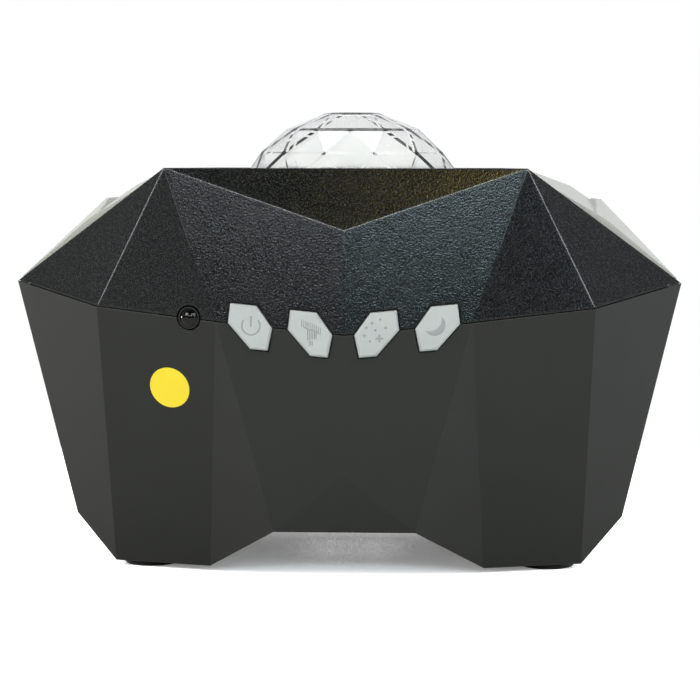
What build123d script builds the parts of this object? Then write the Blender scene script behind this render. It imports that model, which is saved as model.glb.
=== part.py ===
"""Star, moon and aurora projector: faceted two-shell housing, crystal dome, side light
covers, four sprung buttons and a geared optical engine.  Units mm, Z up, front is -Y,
origin on the table under the middle of the housing."""
import os
from math import acos, asin, cos, pi, radians, sin, tan

from build123d import *

# ------------------------------------------------------------ housing corners (front right)
SIDE = Vector(99.0, -36.8, 86.9)        # belt line, outermost
RIDGE = Vector(52.4, -57.3, 120.7)      # end of the top ridge
BELT_OUT = Vector(72.5, -54.9, 80.3)    # belt line, outer corner
BELT_IN = Vector(36.9, -64.7, 76.7)     # belt line, inner corner
PROW = Vector(0.0, -68.5, 73.2)         # belt line, middle
VEE = Vector(0.0, -64.4, 103.0)         # lower tip of the top triangle
KEEL = Vector(0.0, -63.8, 32.2)         # upper tip of the bottom triangle
ARCH = Vector(20.7, -59.5, 15.1)        # top corner of the arch
LOBE_IN = Vector(41.0, -42.1, 1.8)      # foot of the lobe, inner
LOBE_OUT = Vector(70.5, -33.2, 1.8)     # foot of the lobe, outer
SKIRT = Vector(83.1, -27.7, 15.5)       # top of the chamfer under the side
MIDDLE = Vector(0.0, 0.0, 70.0)

WALL = 2.4                              # moulded wall
LIP = 1.1                               # tongue on the lower shell
LIP_RISE = 2.0
LIP_FIT = 0.12
TONGUE_X = BELT_OUT.X + 8.0             # half length of the tongue
TONGUE_END = 0.3
SHADOW_RISE, SHADOW_DEPTH = 0.3, 0.5    # shadow line round the foot of the upper shell
SHADOW_X = SIDE.X - 4.0
REACH = 240.0                           # larger than the housing

# ------------------------------------------------------------ decks and the dome seat
DECK_TOP = 108.8
DECK_T = 2.4
DOME_R = 38.8                           # crystal dome, over the corners of its facets
DOME_SINK = 8.9                         # centre of the dome sphere below the deck
DOME_Z = DECK_TOP - DOME_SINK
DOME_T = 2.0                            # wall, its inner facets lie behind the outer ones
DOME_HOLE = DOME_R - 0.1                # the deck's edge meets the facets just above their foot
FLANGE_R = DOME_R + 3.2
FLANGE_T = 2.0
RING_R = FLANGE_R + 3.5                 # trim ring on the deck
RING_H = 2.2
DOME_SCREW_R = FLANGE_R + 4.1           # pitch radius of the dome screws, outside the flange
APERTURE_R = DOME_SCREW_R + 3.9
APERTURE_T = 2.4

# ------------------------------------------------------------ side light covers
COVER_PEAK = Vector(77.6, 0.0, 111.15)   # outer plate: crest, peak, outer edge
COVER_CREST = Vector(75.3, 0.0, 111.3)
COVER_KNEE = Vector(68.2, 0.0, 115.7)    # bend of the inner plate
COVER_HUB = 2.2                         # height of the cover above the roof near its long edges
COVER_INSET = 1.7                       # edge of the cover from the edge of the roof
COVER_FIT = 0.15
COVER_SEAT = 1.2                        # depth of the seat in the roof
COVER_T = 1.8
COVER_STEP = 0.45                       # outer plate stands over the inner plate
WINDOW_INSET = 4.8                      # light window from the edge of the roof

# ------------------------------------------------------------ fasteners and posts
CASE_X, CASE_Y = 48.0, 30.0             # housing screws
CASE_SEAT = 34.8                        # height of the screw seat
CASE_JOINT = 38.8                       # height where the two bosses meet
POST_X, POST_Y = 50.0, 11.0             # posts for the inner frame
FOOT_X, FOOT_Y, FOOT_R = 60.5, 25.5, 8.5
FOOT_SINK = 0.6                         # foot pressed into its recess

# ------------------------------------------------------------ optical engine
FRAME_Z, FRAME_T = 58.8, 3.0
TUBE_R, TUBE_BORE = 12.0, 10.1          # light tube, journal of the ripple gear
TUBE_TOP, TUBE_FOOT = FRAME_Z + 12.4, FRAME_Z - 14.0
SHOULDER_TOP = FRAME_Z + 6.7            # the gears rest on shoulders
LENS_FOOT, LENS_RIM, LENS_SAG = FRAME_Z + 2.0, 2.2, 4.6
LENS_FIT = 0.08
MODULE = 1.0
RIPPLE_TEETH, STAR_TEETH, PINION_TEETH = 36, 24, 12
GEAR_Z, GEAR_T = SHOULDER_TOP + 0.05, 5.0
BEARING = 0.05                          # radial clearance of a gear on its journal
ADDENDUM, DEDENDUM = 0.8, 1.1
PRESSURE = radians(25)
BACKLASH = 0.16
GEAR_TIP = MODULE * (RIPPLE_TEETH / 2 + ADDENDUM)
STAR_X = -MODULE * (RIPPLE_TEETH + STAR_TEETH) / 2
PINION_ANGLE = -60.0
PINION_REACH = MODULE * (RIPPLE_TEETH + PINION_TEETH) / 2
PINION_X = PINION_REACH * cos(radians(PINION_ANGLE))
PINION_Y = PINION_REACH * sin(radians(PINION_ANGLE))
MOON_R = 7.0                            # moon projector barrel, clear of the ripple gear
MOON_X = GEAR_TIP + MOON_R + 2.2
MOON_TOP = FRAME_Z + 35.0
LASER_R = 4.5
SHAFT_R = 1.0
MOTOR_R, MOTOR_FOOT = 10.0, FRAME_Z - 12.8
BRIDGE_Z, BRIDGE_T = TUBE_TOP + 4.6, 1.5
BRIDGE_POST = 2.6
BRIDGE_R = GEAR_TIP + BRIDGE_POST + 4.6  # pitch radius of the posts outside the ripple gear
BRIDGE_RIM = 4.0
BRIDGE_ANGLES = (60.0, 125.0, 245.0)
BOARD_T = 1.6
HEAT_R, HEAT_BASE = 22.0, 3.2
HEAT_TOP = TUBE_FOOT - BOARD_T          # the LED board lies between heat sink and light tube
HEAT_FOOT = HEAT_TOP - 17.4
LED_SCREW_X = 17.0

# ------------------------------------------------------------ buttons, window, boards
BUTTON_HEX = ((5.9, 6.65), (-1.6, 5.95), (-6.2, -0.4), (-4.8, -6.8), (0.1, -6.4), (6.6, 1.0))
OUTER_X, OUTER_Z = 26.6, 75.5
INNER_X, INNER_Z = 9.3, 73.75
BUTTON_PROUD = 0.9
BUTTON_GAP = 0.35
BUTTON_BACK = 4.0                       # depth of the flange front
BUTTON_LAND = 1.2
BUTTON_TRAVEL = 0.6
STEM_R = 2.0
STEM_END_Y = -56.95
STEM_LEAN = (BELT_IN.Y - PROW.Y) / BELT_IN.X
PLUNGER_Y = STEM_END_Y + BUTTON_TRAVEL + STEM_R * STEM_LEAN + 0.05
GUIDE_Y, GUIDE_T = -58.9, 1.4
SWITCH_H = 3.5
BUTTON_BOARD_Y = PLUNGER_Y + 1.0 + SWITCH_H
GUIDE_BOSS_X, GUIDE_BOSS_Z = 18.0, 89.3
EYE_X, EYE_Z, EYE_R = -44.9, 77.7, 3.2
EYE_SINK = 0.3                          # centre of the window sphere behind the wall
LABEL_X, LABEL_Z = -51.3, 56.79
LABEL_R, LABEL_T = 6.2, 0.15
MAIN_BOARD_Z = 20.8
SOCKET_X, SOCKET_Z = -62.0, 27.9
SOCKET_BORE = 2.85
SPEAKER_Z, SPEAKER_R, SPEAKER_Y = 42.8, 20.0, 57.5
LAMP_X, LAMP_Z = 76.0, 85.8             # light boards under the covers

UP = (Align.CENTER, Align.CENTER, Align.MIN)
DOWN = (Align.CENTER, Align.CENTER, Align.MAX)


# ============================================================ planes of the facets
def facet(a, b, c):
    """Plane through three corners, normal pointing out of the housing."""
    normal = (b - a).cross(c - a)
    if normal.dot(a - MIDDLE) < 0:
        normal = normal * -1
    return Plane(origin=a, z_dir=normal)


def strip(a, b):
    """Plane through two corners and their twins at the rear."""
    return facet(a, b, a + Vector(0, 10, 0))


def turned(plane, sx, sy):
    """The same facet on another quarter of the housing."""
    origin, normal = plane.origin, plane.z_dir
    return Plane(
        origin=Vector(origin.X * sx, origin.Y * sy, origin.Z),
        z_dir=Vector(normal.X * sx, normal.Y * sy, normal.Z),
    )


def quarters(planes):
    return [turned(p, sx, sy) for p in planes for sx in (1, -1) for sy in (1, -1)]


def front_rear(planes):
    return [turned(p, 1, sy) for p in planes for sy in (1, -1)]


def left_right(planes):
    return [turned(p, sx, 1) for p in planes for sx in (1, -1)]


TOP_FACET = facet(RIDGE, Vector(-RIDGE.X, RIDGE.Y, RIDGE.Z), VEE)
WING_FACET = facet(RIDGE, BELT_IN, PROW)
CHEEK_FACET = facet(RIDGE, BELT_IN, BELT_OUT)
SHOULDER_FACET = facet(RIDGE, BELT_OUT, SIDE)
ROOF = strip(SIDE, RIDGE)
WAIST_FACET = facet(PROW, BELT_IN, ARCH)
KEEL_FACET = facet(KEEL, ARCH, Vector(-ARCH.X, ARCH.Y, ARCH.Z))
FLANK_FACET = facet(BELT_IN, ARCH, LOBE_IN)
LOBE_FACET = facet(BELT_IN, BELT_OUT, LOBE_OUT)
CORNER_FACET = facet(BELT_OUT, SIDE, LOBE_OUT)
SIDE_FACET = strip(SIDE, SKIRT)
SKIRT_FACET = strip(SKIRT, LOBE_OUT)

UPPER_SET = front_rear([TOP_FACET]) + quarters([WING_FACET, CHEEK_FACET, SHOULDER_FACET])
ROOF_SET = left_right([ROOF])
SPINE = strip(BELT_IN, LOBE_IN)         # inner boundary of a lobe
CENTRE_SET = quarters([WAIST_FACET, FLANK_FACET]) + front_rear([KEEL_FACET]) + left_right([SPINE])
LOBE_SET = front_rear([WAIST_FACET, LOBE_FACET, CORNER_FACET]) + [SIDE_FACET, SKIRT_FACET]


def on_facet(plane, x, z):
    """Point of a facet seen from the front at x and z."""
    normal = plane.z_dir
    run = normal.X * (x - plane.origin.X) + normal.Z * (z - plane.origin.Z)
    return Vector(x, plane.origin.Y - run / normal.Y, z)


def carved(planes, inset, low, high, x_low=-REACH / 2):
    """Solid between two levels and behind every facet plane moved in by the inset."""
    with BuildPart() as block:
        with Locations((x_low, 0, low)):
            Box(REACH / 2 - x_low, REACH, high - low, align=(Align.MIN, Align.CENTER, Align.MIN))
        for plane in planes:
            split(bisect_by=plane.offset(-inset), keep=Keep.BOTTOM)
    return block.part


def belt_points(rise):
    """The belt line seen from the front, left to right, moved up by the rise."""
    slope = (SIDE.Z - BELT_OUT.Z) / (SIDE.X - BELT_OUT.X)
    far = Vector(REACH / 2, 0, SIDE.Z + slope * (REACH / 2 - SIDE.X))
    half = [(c.X, c.Z + rise) for c in (PROW, BELT_IN, BELT_OUT, SIDE, far)]
    return [(-x, z) for x, z in reversed(half[1:])] + half


def above_belt(rise):
    """Everything above the belt surface."""
    outline = belt_points(rise)
    with BuildPart() as block:
        with BuildSketch(Plane.XZ):
            with BuildLine():
                Polyline(*outline, (REACH / 2, REACH), (-REACH / 2, REACH), close=True)
            make_face()
        extrude(amount=REACH / 2, both=True)
    return block.part


def arch_space(lift):
    """Space under the waist between the two lobes, its roof moved up by the lift."""
    spread = (LOBE_IN.X - ARCH.X) / (ARCH.Z - LOBE_IN.Z)
    foot = LOBE_IN.X + spread * 6 + lift * 0.7
    top = ARCH.X + lift * 0.7
    low, high = LOBE_IN.Z - 6, ARCH.Z + lift
    points = [(-foot, low), (-top, high), (top, high), (foot, low)]
    with BuildPart() as block:
        with BuildSketch(Plane.XZ):
            with BuildLine():
                Polyline(*points, close=True)
            make_face()
        extrude(amount=REACH / 2, both=True)
    return block.part


def lower_body(inset, lift, floor):
    """Lower shape of the housing: the middle block and two lobes over the arch."""
    middle = carved(CENTRE_SET, inset, floor, REACH / 2)
    lobe = carved(LOBE_SET, inset, floor, REACH / 2, x_low=0)
    arch = arch_space(lift)
    with BuildPart() as body:
        add(lobe)
        mirror(about=Plane.YZ)
        add(middle)
        add(arch, mode=Mode.SUBTRACT)
    return body.part


def column(x, y, low, high, radius, mode=Mode.ADD):
    """Upright round column, or a hole when subtracted."""
    with Locations((x, y, low)):
        Cylinder(radius, high - low, align=UP, mode=mode)


def four(x, y):
    return [(sx * x, sy * y) for sx in (1, -1) for sy in (1, -1)]


def around(radius, angles):
    return [(radius * cos(radians(a)), radius * sin(radians(a))) for a in angles]


# ============================================================ button places
def button_frame(x, z):
    """Frame on the wall at the belt line, z axis pointing out of the wall."""
    sign = 1 if x > 0 else -1
    slope = (BELT_IN.Y - PROW.Y) / BELT_IN.X
    out = Vector(sign * slope, -1, 0).normalized()
    side = Vector(0, 0, 1).cross(out)
    return Plane(origin=Vector(x, PROW.Y + slope * abs(x), z), x_dir=side, z_dir=out)


BUTTONS = {
    "button_power": (-OUTER_X, OUTER_Z),
    "button_aurora": (-INNER_X, INNER_Z),
    "button_stars": (INNER_X, INNER_Z),
    "button_moon": (OUTER_X, OUTER_Z),
}


def button_outline(x, grow):
    """Six-sided outline, leaning away from the middle of the housing."""
    sign = 1 if x > 0 else -1
    with BuildLine() as edge:
        Polyline(*[(sign * px, pz) for px, pz in BUTTON_HEX], close=True)
    face = make_face(edge.line)
    if grow:
        offset(face, amount=grow, kind=Kind.INTERSECTION)


def button_holes():
    """Openings for the four buttons, cut square to the wall."""
    for x, z in BUTTONS.values():
        with BuildSketch(button_frame(x, z).offset(6)) as opening:
            button_outline(x, BUTTON_GAP)
        extrude(opening.sketch, amount=-14, mode=Mode.SUBTRACT)


def eye_frame():
    """Frame of the infrared window on the belt line."""
    run = BELT_OUT - BELT_IN
    slope = run.Y / run.X
    out = Vector(-slope, -1, 0).normalized()
    y = BELT_IN.Y + slope * (-EYE_X - BELT_IN.X)
    return Plane(origin=Vector(EYE_X, y, EYE_Z), x_dir=Vector(0, 0, 1).cross(out), z_dir=out)


def eye_hole():
    with BuildSketch(eye_frame().offset(6)) as opening:
        Circle(EYE_R + 0.45)
    extrude(opening.sketch, amount=-14, mode=Mode.SUBTRACT)


# ============================================================ lower housing
SPEAKER_PLANE = Plane(origin=(0, SPEAKER_Y, SPEAKER_Z), x_dir=(1, 0, 0), z_dir=(0, 1, 0))
SOCKET_PLANE = Plane(origin=(SOCKET_X, 60, SOCKET_Z), x_dir=(-1, 0, 0), z_dir=(0, 1, 0))


def lower_posts():
    """Bosses for the housing screws, posts for the frame and the main board."""
    for x, y in four(CASE_X, CASE_Y):
        column(x, y, LOBE_IN.Z, CASE_JOINT, 4.75)
    for x, y in four(POST_X, POST_Y):
        column(x, y, LOBE_IN.Z, FRAME_Z, 4.0)
    for x, y in MAIN_POSTS:
        column(x, y, LOBE_IN.Z, MAIN_BOARD_Z, 2.6)


def lower_holes():
    """Screw holes, foot recesses and vents."""
    for x, y in four(CASE_X, CASE_Y):
        column(x, y, 0, CASE_SEAT, 3.1, Mode.SUBTRACT)
        column(x, y, 0, CASE_JOINT + 1, 1.6, Mode.SUBTRACT)
    for x, y in four(POST_X, POST_Y):
        column(x, y, FRAME_Z - 11, FRAME_Z + 1, 1.27, Mode.SUBTRACT)
    for x, y in MAIN_POSTS:
        column(x, y, MAIN_BOARD_Z - 8, MAIN_BOARD_Z + 1, 1.0, Mode.SUBTRACT)
    for x, y in four(FOOT_X, FOOT_Y):
        column(x, y, 0, LOBE_IN.Z + FOOT_SINK, FOOT_R + 0.1, Mode.SUBTRACT)
    with BuildSketch(Plane.XY.offset(ARCH.Z - 1)) as vents:
        with GridLocations(5.0, 10, 7, 1):
            SlotOverall(46, 2.2, rotation=90)
    extrude(vents.sketch, amount=5, mode=Mode.SUBTRACT)


MAIN_POSTS = ((-57.4, 19.0), (-57.4, -22.4), (-76.0, 21.0), (-76.0, -21.0))

LOWER_OUTER = lower_body(0, 0, LOBE_IN.Z)
LOWER_CAVITY = lower_body(WALL, WALL, LOBE_IN.Z + WALL)
ABOVE_BELT = above_belt(0)
TONGUE_OUTER = carved(UPPER_SET, WALL - LIP, BELT_IN.Z - 10, REACH / 2, x_low=-REACH / 2)
TONGUE_INNER = carved(UPPER_SET, WALL, BELT_IN.Z - 20, REACH / 2 + 10, x_low=-REACH / 2)

with BuildPart() as tongue:
    add(TONGUE_OUTER)
    add(TONGUE_INNER, mode=Mode.SUBTRACT)
    add(above_belt(-0.6), mode=Mode.INTERSECT)
    add(above_belt(LIP_RISE), mode=Mode.SUBTRACT)
    Box(2 * TONGUE_X, REACH, REACH, mode=Mode.INTERSECT)

with BuildPart() as lower_housing:
    add(LOWER_OUTER)
    add(LOWER_CAVITY, mode=Mode.SUBTRACT)
    lower_posts()
    with BuildSketch(SPEAKER_PLANE):
        Circle(SPEAKER_R + 2.6)
        Circle(SPEAKER_R + 0.3, mode=Mode.SUBTRACT)
    extrude(amount=20)
    with BuildSketch(SPEAKER_PLANE):
        Circle(SPEAKER_R + 0.3)
        Circle(SPEAKER_R - 2.0, mode=Mode.SUBTRACT)
    extrude(amount=20)
    add(LOWER_OUTER, mode=Mode.INTERSECT)
    add(ABOVE_BELT, mode=Mode.SUBTRACT)
    add(tongue.part)
    lower_holes()
    button_holes()
    eye_hole()
    with BuildSketch(SPEAKER_PLANE.offset(-2)):
        with Locations((0, 0)):
            with HexLocations(2.35, 7, 7):
                Circle(1.25)
        Circle(SPEAKER_R - 3.6, mode=Mode.INTERSECT)
    extrude(amount=20, mode=Mode.SUBTRACT)
    with BuildSketch(SOCKET_PLANE):
        Circle(4.2)
    extrude(amount=-26, mode=Mode.SUBTRACT)
lower_housing.part.label = "lower_housing"


# ============================================================ upper housing
UPPER_OUTER = carved(UPPER_SET + ROOF_SET, 0, 60, RIDGE.Z)
UPPER_CAVITY = carved(UPPER_SET + ROOF_SET, WALL, 50, RIDGE.Z + 10)


def roof_frame(side):
    """Frame lying on one sloping roof, x axis running outward and down."""
    top = Vector(side * (SIDE.X + RIDGE.X) / 2, 0, (SIDE.Z + RIDGE.Z) / 2)
    run = Vector(side * (SIDE.X - RIDGE.X), 0, SIDE.Z - RIDGE.Z)
    return Plane(origin=top, x_dir=run, z_dir=Vector(side * (RIDGE.Z - SIDE.Z), 0, SIDE.X - RIDGE.X))


ROOF_HALF = Vector(SIDE.X - RIDGE.X, 0, SIDE.Z - RIDGE.Z).length / 2
ROOF_SLANT = (RIDGE.Y - SIDE.Y) / (2 * ROOF_HALF)


def roof_outline(side, inset):
    """Outline of the roof moved in by the inset."""
    edge = inset * (1 + ROOF_SLANT ** 2) ** 0.5
    near, far = -ROOF_HALF + inset, ROOF_HALF - inset
    middle = -(RIDGE.Y + SIDE.Y) / 2
    half_near = middle + ROOF_SLANT * near - edge
    half_far = middle + ROOF_SLANT * far - edge
    with BuildLine() as edge:
        Polyline((near, -half_near), (far, -half_far), (far, half_far), (near, half_near), close=True)
    make_face(edge.line)


def deck_work():
    """Deck around the dome, screw bosses under it and rails for the light boards."""
    with Locations((0, 0, DECK_TOP)):
        Box(REACH, REACH, DECK_T, align=DOWN)
    for x in (LAMP_X, -LAMP_X):
        with Locations((x, 0, LAMP_Z)):
            Box(11, REACH, 3, align=DOWN)


BELT_GAP = above_belt(0)
TONGUE_SPACE = carved(UPPER_SET, WALL - LIP - LIP_FIT, 50, REACH / 2 + 10, x_low=-REACH / 2)
with BuildPart() as groove:
    add(TONGUE_SPACE)
    add(above_belt(-5), mode=Mode.INTERSECT)
    add(above_belt(LIP_RISE + 0.3), mode=Mode.SUBTRACT)
    Box(2 * (TONGUE_X + TONGUE_END), REACH, REACH, mode=Mode.INTERSECT)

with BuildPart() as shadow_line:
    add(above_belt(-0.5))
    add(above_belt(SHADOW_RISE), mode=Mode.SUBTRACT)
    add(carved(UPPER_SET, SHADOW_DEPTH, 50, REACH / 2 + 10), mode=Mode.SUBTRACT)
    Box(2 * SHADOW_X, REACH, REACH, mode=Mode.INTERSECT)

with BuildPart() as upper_housing:
    add(UPPER_OUTER)
    add(UPPER_CAVITY, mode=Mode.SUBTRACT)
    deck_work()
    add(UPPER_OUTER, mode=Mode.INTERSECT)
    add(BELT_GAP, mode=Mode.INTERSECT)
    add(groove.part, mode=Mode.SUBTRACT)
    add(shadow_line.part, mode=Mode.SUBTRACT)
    for side in (1, -1):
        with BuildSketch(roof_frame(side)):
            roof_outline(side, COVER_INSET)
        extrude(amount=-COVER_SEAT, mode=Mode.SUBTRACT)
        with BuildSketch(roof_frame(side)):
            roof_outline(side, WINDOW_INSET)
        extrude(amount=-WALL - 1, mode=Mode.SUBTRACT)
    for x, y in four(CASE_X, CASE_Y):
        column(x, y, CASE_JOINT, DECK_TOP - DECK_T, 3.6)
        column(x, y, CASE_JOINT - 1, CASE_JOINT + 14, 1.48, Mode.SUBTRACT)
    for x, y in around(DOME_SCREW_R, (45, 135, 225, 315)):
        column(x, y, DECK_TOP - DECK_T - FLANGE_T, DECK_TOP - DECK_T, 3.4)
        column(x, y, DECK_TOP - DECK_T - FLANGE_T - 1, DECK_TOP - 0.8, 1.23, Mode.SUBTRACT)
    column(0, 0, DECK_TOP - 10, DECK_TOP + 5, DOME_HOLE, Mode.SUBTRACT)
    for x in (GUIDE_BOSS_X, -GUIDE_BOSS_X):
        with BuildSketch(Plane.XZ.offset(-GUIDE_Y)):
            with Locations((x, GUIDE_BOSS_Z)):
                Circle(3.0)
        extrude(amount=4.6)
        with BuildSketch(Plane.XZ.offset(-GUIDE_Y)):
            with Locations((x, GUIDE_BOSS_Z)):
                Circle(0.98)
        extrude(amount=3.4, mode=Mode.SUBTRACT)
    for x in (LAMP_X, -LAMP_X):
        for y in (-28, 28):
            column(x, y, LAMP_Z - 4, LAMP_Z + 1, 0.98, Mode.SUBTRACT)
    button_holes()
    eye_hole()
upper_housing.part.label = "upper_housing"


# ============================================================ side light covers
def cover_corners(step):
    """Corners of one cover in the frame of its roof: knee, crest, peak and the edges."""
    frame = roof_frame(1)
    drop = Vector(0, 0, -step)
    knee, crest, peak = [frame.to_local_coords(c) + drop for c in (COVER_KNEE, COVER_CREST, COVER_PEAK)]
    edge = COVER_INSET + COVER_FIT
    near, far = -ROOF_HALF + edge, ROOF_HALF - edge
    middle = -(RIDGE.Y + SIDE.Y) / 2
    slanted = edge * (1 + ROOF_SLANT ** 2) ** 0.5
    half_near = middle + ROOF_SLANT * near - slanted
    half_far = middle + ROOF_SLANT * far - slanted
    base = 0.4
    hub = Vector(0.0, -(middle - slanted) * 0.93, COVER_HUB)
    return knee, crest, peak, hub, Vector(near, -half_near, base), Vector(far, -half_far, base)


def cover_planes(grow, step, outer):
    """Facets of the outer or the inner plate, moved out by the growth."""
    knee, crest, peak, hub, near, far = cover_corners(step)
    across = Vector(0, 10, 0)
    if outer:
        level = [(peak, far, far + across), (crest, peak, crest + across)]
        slopes = [(peak, far, hub), (peak, near, hub)]
    else:
        level = [(knee, near, near + across), (knee, crest, crest + across)]
        slopes = [(knee, near, hub), (knee, crest, hub)]
    planes = []
    for p, q, r in level + slopes:
        normal = (q - p).cross(r - p)
        if normal.Z < 0:
            normal = normal * -1
        planes.append(Plane(origin=p, z_dir=normal).offset(grow))
    return planes + [turned(p, 1, -1) for p in planes[2:]]


def cover_solid(grow, base, outline_inset):
    """One cover as a solid over its outline; the outer plate stands over the inner one."""
    crest = cover_corners(0)[1]
    halves = []
    for step, outer, keep in ((0, True, Keep.TOP), (COVER_STEP, False, Keep.BOTTOM)):
        with BuildPart() as half:
            with BuildSketch(Plane.XY.offset(base)):
                roof_outline(1, outline_inset)
            extrude(amount=12)
            for plane in cover_planes(grow, step, outer):
                split(bisect_by=plane, keep=Keep.BOTTOM)
            split(bisect_by=Plane(origin=(crest.X - grow * 0.6, 0, 0), z_dir=(1, 0, 0)), keep=keep)
        halves.append(half.part)
    return halves


def cover_part():
    edge = COVER_INSET + COVER_FIT
    inner_edge = WINDOW_INSET + COVER_FIT
    with BuildPart() as cover:
        for half in cover_solid(0, -COVER_SEAT, edge):
            add(half)
        for half in cover_solid(-COVER_T, -COVER_SEAT - 2, inner_edge):
            add(half, mode=Mode.SUBTRACT)
    return cover.part


COVER = cover_part()

with BuildPart() as side_cover_right:
    add(roof_frame(1).location * COVER)
side_cover_right.part.label = "side_cover_right"

with BuildPart() as side_cover_left:
    add(mirror(side_cover_right.part, about=Plane.YZ, mode=Mode.PRIVATE))
side_cover_left.part.label = "side_cover_left"


# ============================================================ crystal dome
DOME_SIDES = 12
DOME_LEVELS = (8.0, 25.0, 41.5, 58.0, 77.5)     # latitudes of the facet rings, degrees


def ring_points(radius, level, shift):
    """Corners of one ring of facets."""
    rise, reach = radius * sin(radians(level)), radius * cos(radians(level))
    step = 360 / DOME_SIDES
    angles = [radians(step * (i + 0.5 + shift)) for i in range(DOME_SIDES)]
    return [Vector(reach * cos(a), reach * sin(a), DOME_Z + rise) for a in angles]


def crystal(radius, foot):
    """Closed solid whose skin is triangles between turned rings, flat on top."""
    rings = [ring_points(radius, level, 0.5 * (n % 2)) for n, level in enumerate(DOME_LEVELS)]
    base = [Vector(p.X, p.Y, foot) for p in rings[0]]
    faces = [Face(Wire.make_polygon(base)), Face(Wire.make_polygon(rings[-1]))]
    count = DOME_SIDES
    for i in range(count):
        j = (i + 1) % count
        faces.append(Face(Wire.make_polygon([base[i], base[j], rings[0][j], rings[0][i]])))
    for n in range(len(rings) - 1):
        low, high = rings[n], rings[n + 1]
        lead = 0 if n % 2 == 0 else 1
        for i in range(count):
            j = (i + 1) % count
            tip = high[i] if lead == 0 else high[j]
            faces.append(Face(Wire.make_polygon([low[i], low[j], tip])))
            base_next = high[j] if lead == 0 else high[(j + 1) % count]
            faces.append(Face(Wire.make_polygon([tip, low[j], base_next])))
    return Solid(Shell(faces))


DOME_FOOT = DECK_TOP - DECK_T - FLANGE_T
with BuildPart() as crystal_dome:
    add(crystal(DOME_R, DOME_FOOT + 0.5))
    column(0, 0, DOME_FOOT, DOME_FOOT + FLANGE_T, FLANGE_R)
    add(crystal(DOME_R - DOME_T, DOME_FOOT - 1), mode=Mode.SUBTRACT)
crystal_dome.part.label = "crystal_dome"

with BuildPart() as dome_ring:
    column(0, 0, DECK_TOP, DECK_TOP + RING_H, RING_R)
    column(0, 0, DECK_TOP - 1, DECK_TOP + RING_H + 1, DOME_HOLE, Mode.SUBTRACT)
    chamfer(dome_ring.edges().group_by(Axis.Z)[-1], length=0.8)
dome_ring.part.label = "dome_ring"

with BuildPart() as aperture_plate:
    column(0, 0, DOME_FOOT - APERTURE_T, DOME_FOOT, APERTURE_R)
    column(0, 0, DOME_FOOT - 5, DOME_FOOT + 1, 15.5, Mode.SUBTRACT)
    column(STAR_X, 0, DOME_FOOT - 5, DOME_FOOT + 1, 5.5, Mode.SUBTRACT)
    column(MOON_X, 0, DOME_FOOT - 5, DOME_FOOT + 1, MOON_R + 0.6, Mode.SUBTRACT)
    for x, y in around(DOME_SCREW_R, (45, 135, 225, 315)):
        column(x, y, DOME_FOOT - 5, DOME_FOOT + 1, 1.4, Mode.SUBTRACT)
aperture_plate.part.label = "aperture_plate"


# ============================================================ screws
def screw_up(x, y, seat, head_r, head_h, shank_r, length):
    """Pan-head screw pointing up, its head under the seat, with a cross recess."""
    column(x, y, seat - head_h, seat, head_r)
    column(x, y, seat, seat + length, shank_r)
    with Locations((x, y, seat - head_h)):
        Box(head_r * 1.2, head_r * 0.3, head_h * 0.6, align=UP, mode=Mode.SUBTRACT)
        Box(head_r * 0.3, head_r * 1.2, head_h * 0.6, align=UP, mode=Mode.SUBTRACT)


def screw_down(x, y, seat, head_r, head_h, shank_r, length):
    """Pan-head screw pointing down, its head on the seat, with a cross recess."""
    column(x, y, seat, seat + head_h, head_r)
    column(x, y, seat - length, seat, shank_r)
    with Locations((x, y, seat + head_h)):
        Box(head_r * 1.2, head_r * 0.3, head_h * 0.6, align=DOWN, mode=Mode.SUBTRACT)
        Box(head_r * 0.3, head_r * 1.2, head_h * 0.6, align=DOWN, mode=Mode.SUBTRACT)


with BuildPart() as housing_screws:
    for x, y in four(CASE_X, CASE_Y):
        screw_up(x, y, CASE_SEAT, 2.8, 2.2, 1.45, 16)
housing_screws.part.label = "housing_screws"

with BuildPart() as frame_screws:
    for x, y in four(POST_X, POST_Y):
        screw_down(x, y, FRAME_Z + FRAME_T, 2.6, 1.8, 1.25, 12)
frame_screws.part.label = "frame_screws"

with BuildPart() as dome_screws:
    for x, y in around(DOME_SCREW_R, (45, 135, 225, 315)):
        screw_up(x, y, DOME_FOOT - APERTURE_T, 2.3, 1.6, 1.2, 5.8)
dome_screws.part.label = "dome_screws"

with BuildPart() as bridge_screws:
    for x, y in around(BRIDGE_R, BRIDGE_ANGLES):
        screw_down(x, y, BRIDGE_Z + BRIDGE_T, 1.9, 1.3, 0.95, 7)
bridge_screws.part.label = "bridge_screws"

with BuildPart() as heat_sink_screws:
    for x in (LED_SCREW_X, -LED_SCREW_X):
        screw_up(x, 0, HEAT_TOP - HEAT_BASE, 1.9, 1.3, 0.95, 10)
heat_sink_screws.part.label = "heat_sink_screws"

with BuildPart() as board_screws:
    for x, y in MAIN_POSTS:
        screw_down(x, y, MAIN_BOARD_Z + BOARD_T, 1.9, 1.3, 0.95, 7)
    for x in (LAMP_X, -LAMP_X):
        for y in (-28, 28):
            screw_down(x, y, LAMP_Z + BOARD_T, 1.9, 1.3, 0.95, 4)
board_screws.part.label = "board_screws"

with BuildPart() as rubber_feet:
    for x, y in four(FOOT_X, FOOT_Y):
        column(x, y, 0, LOBE_IN.Z + FOOT_SINK, FOOT_R)
    chamfer(rubber_feet.edges().group_by(Axis.Z)[0], length=0.7)
rubber_feet.part.label = "rubber_feet"


# ============================================================ inner frame and optics
def lens_middle(half, low, sag):
    """Point halfway up the spherical face of a lens whose rim is at the low level."""
    radius = (half ** 2 + sag ** 2) / (2 * sag)
    turn = asin(half / radius) / 2
    return (radius * sin(turn), low + sag - radius + radius * cos(turn))


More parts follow.
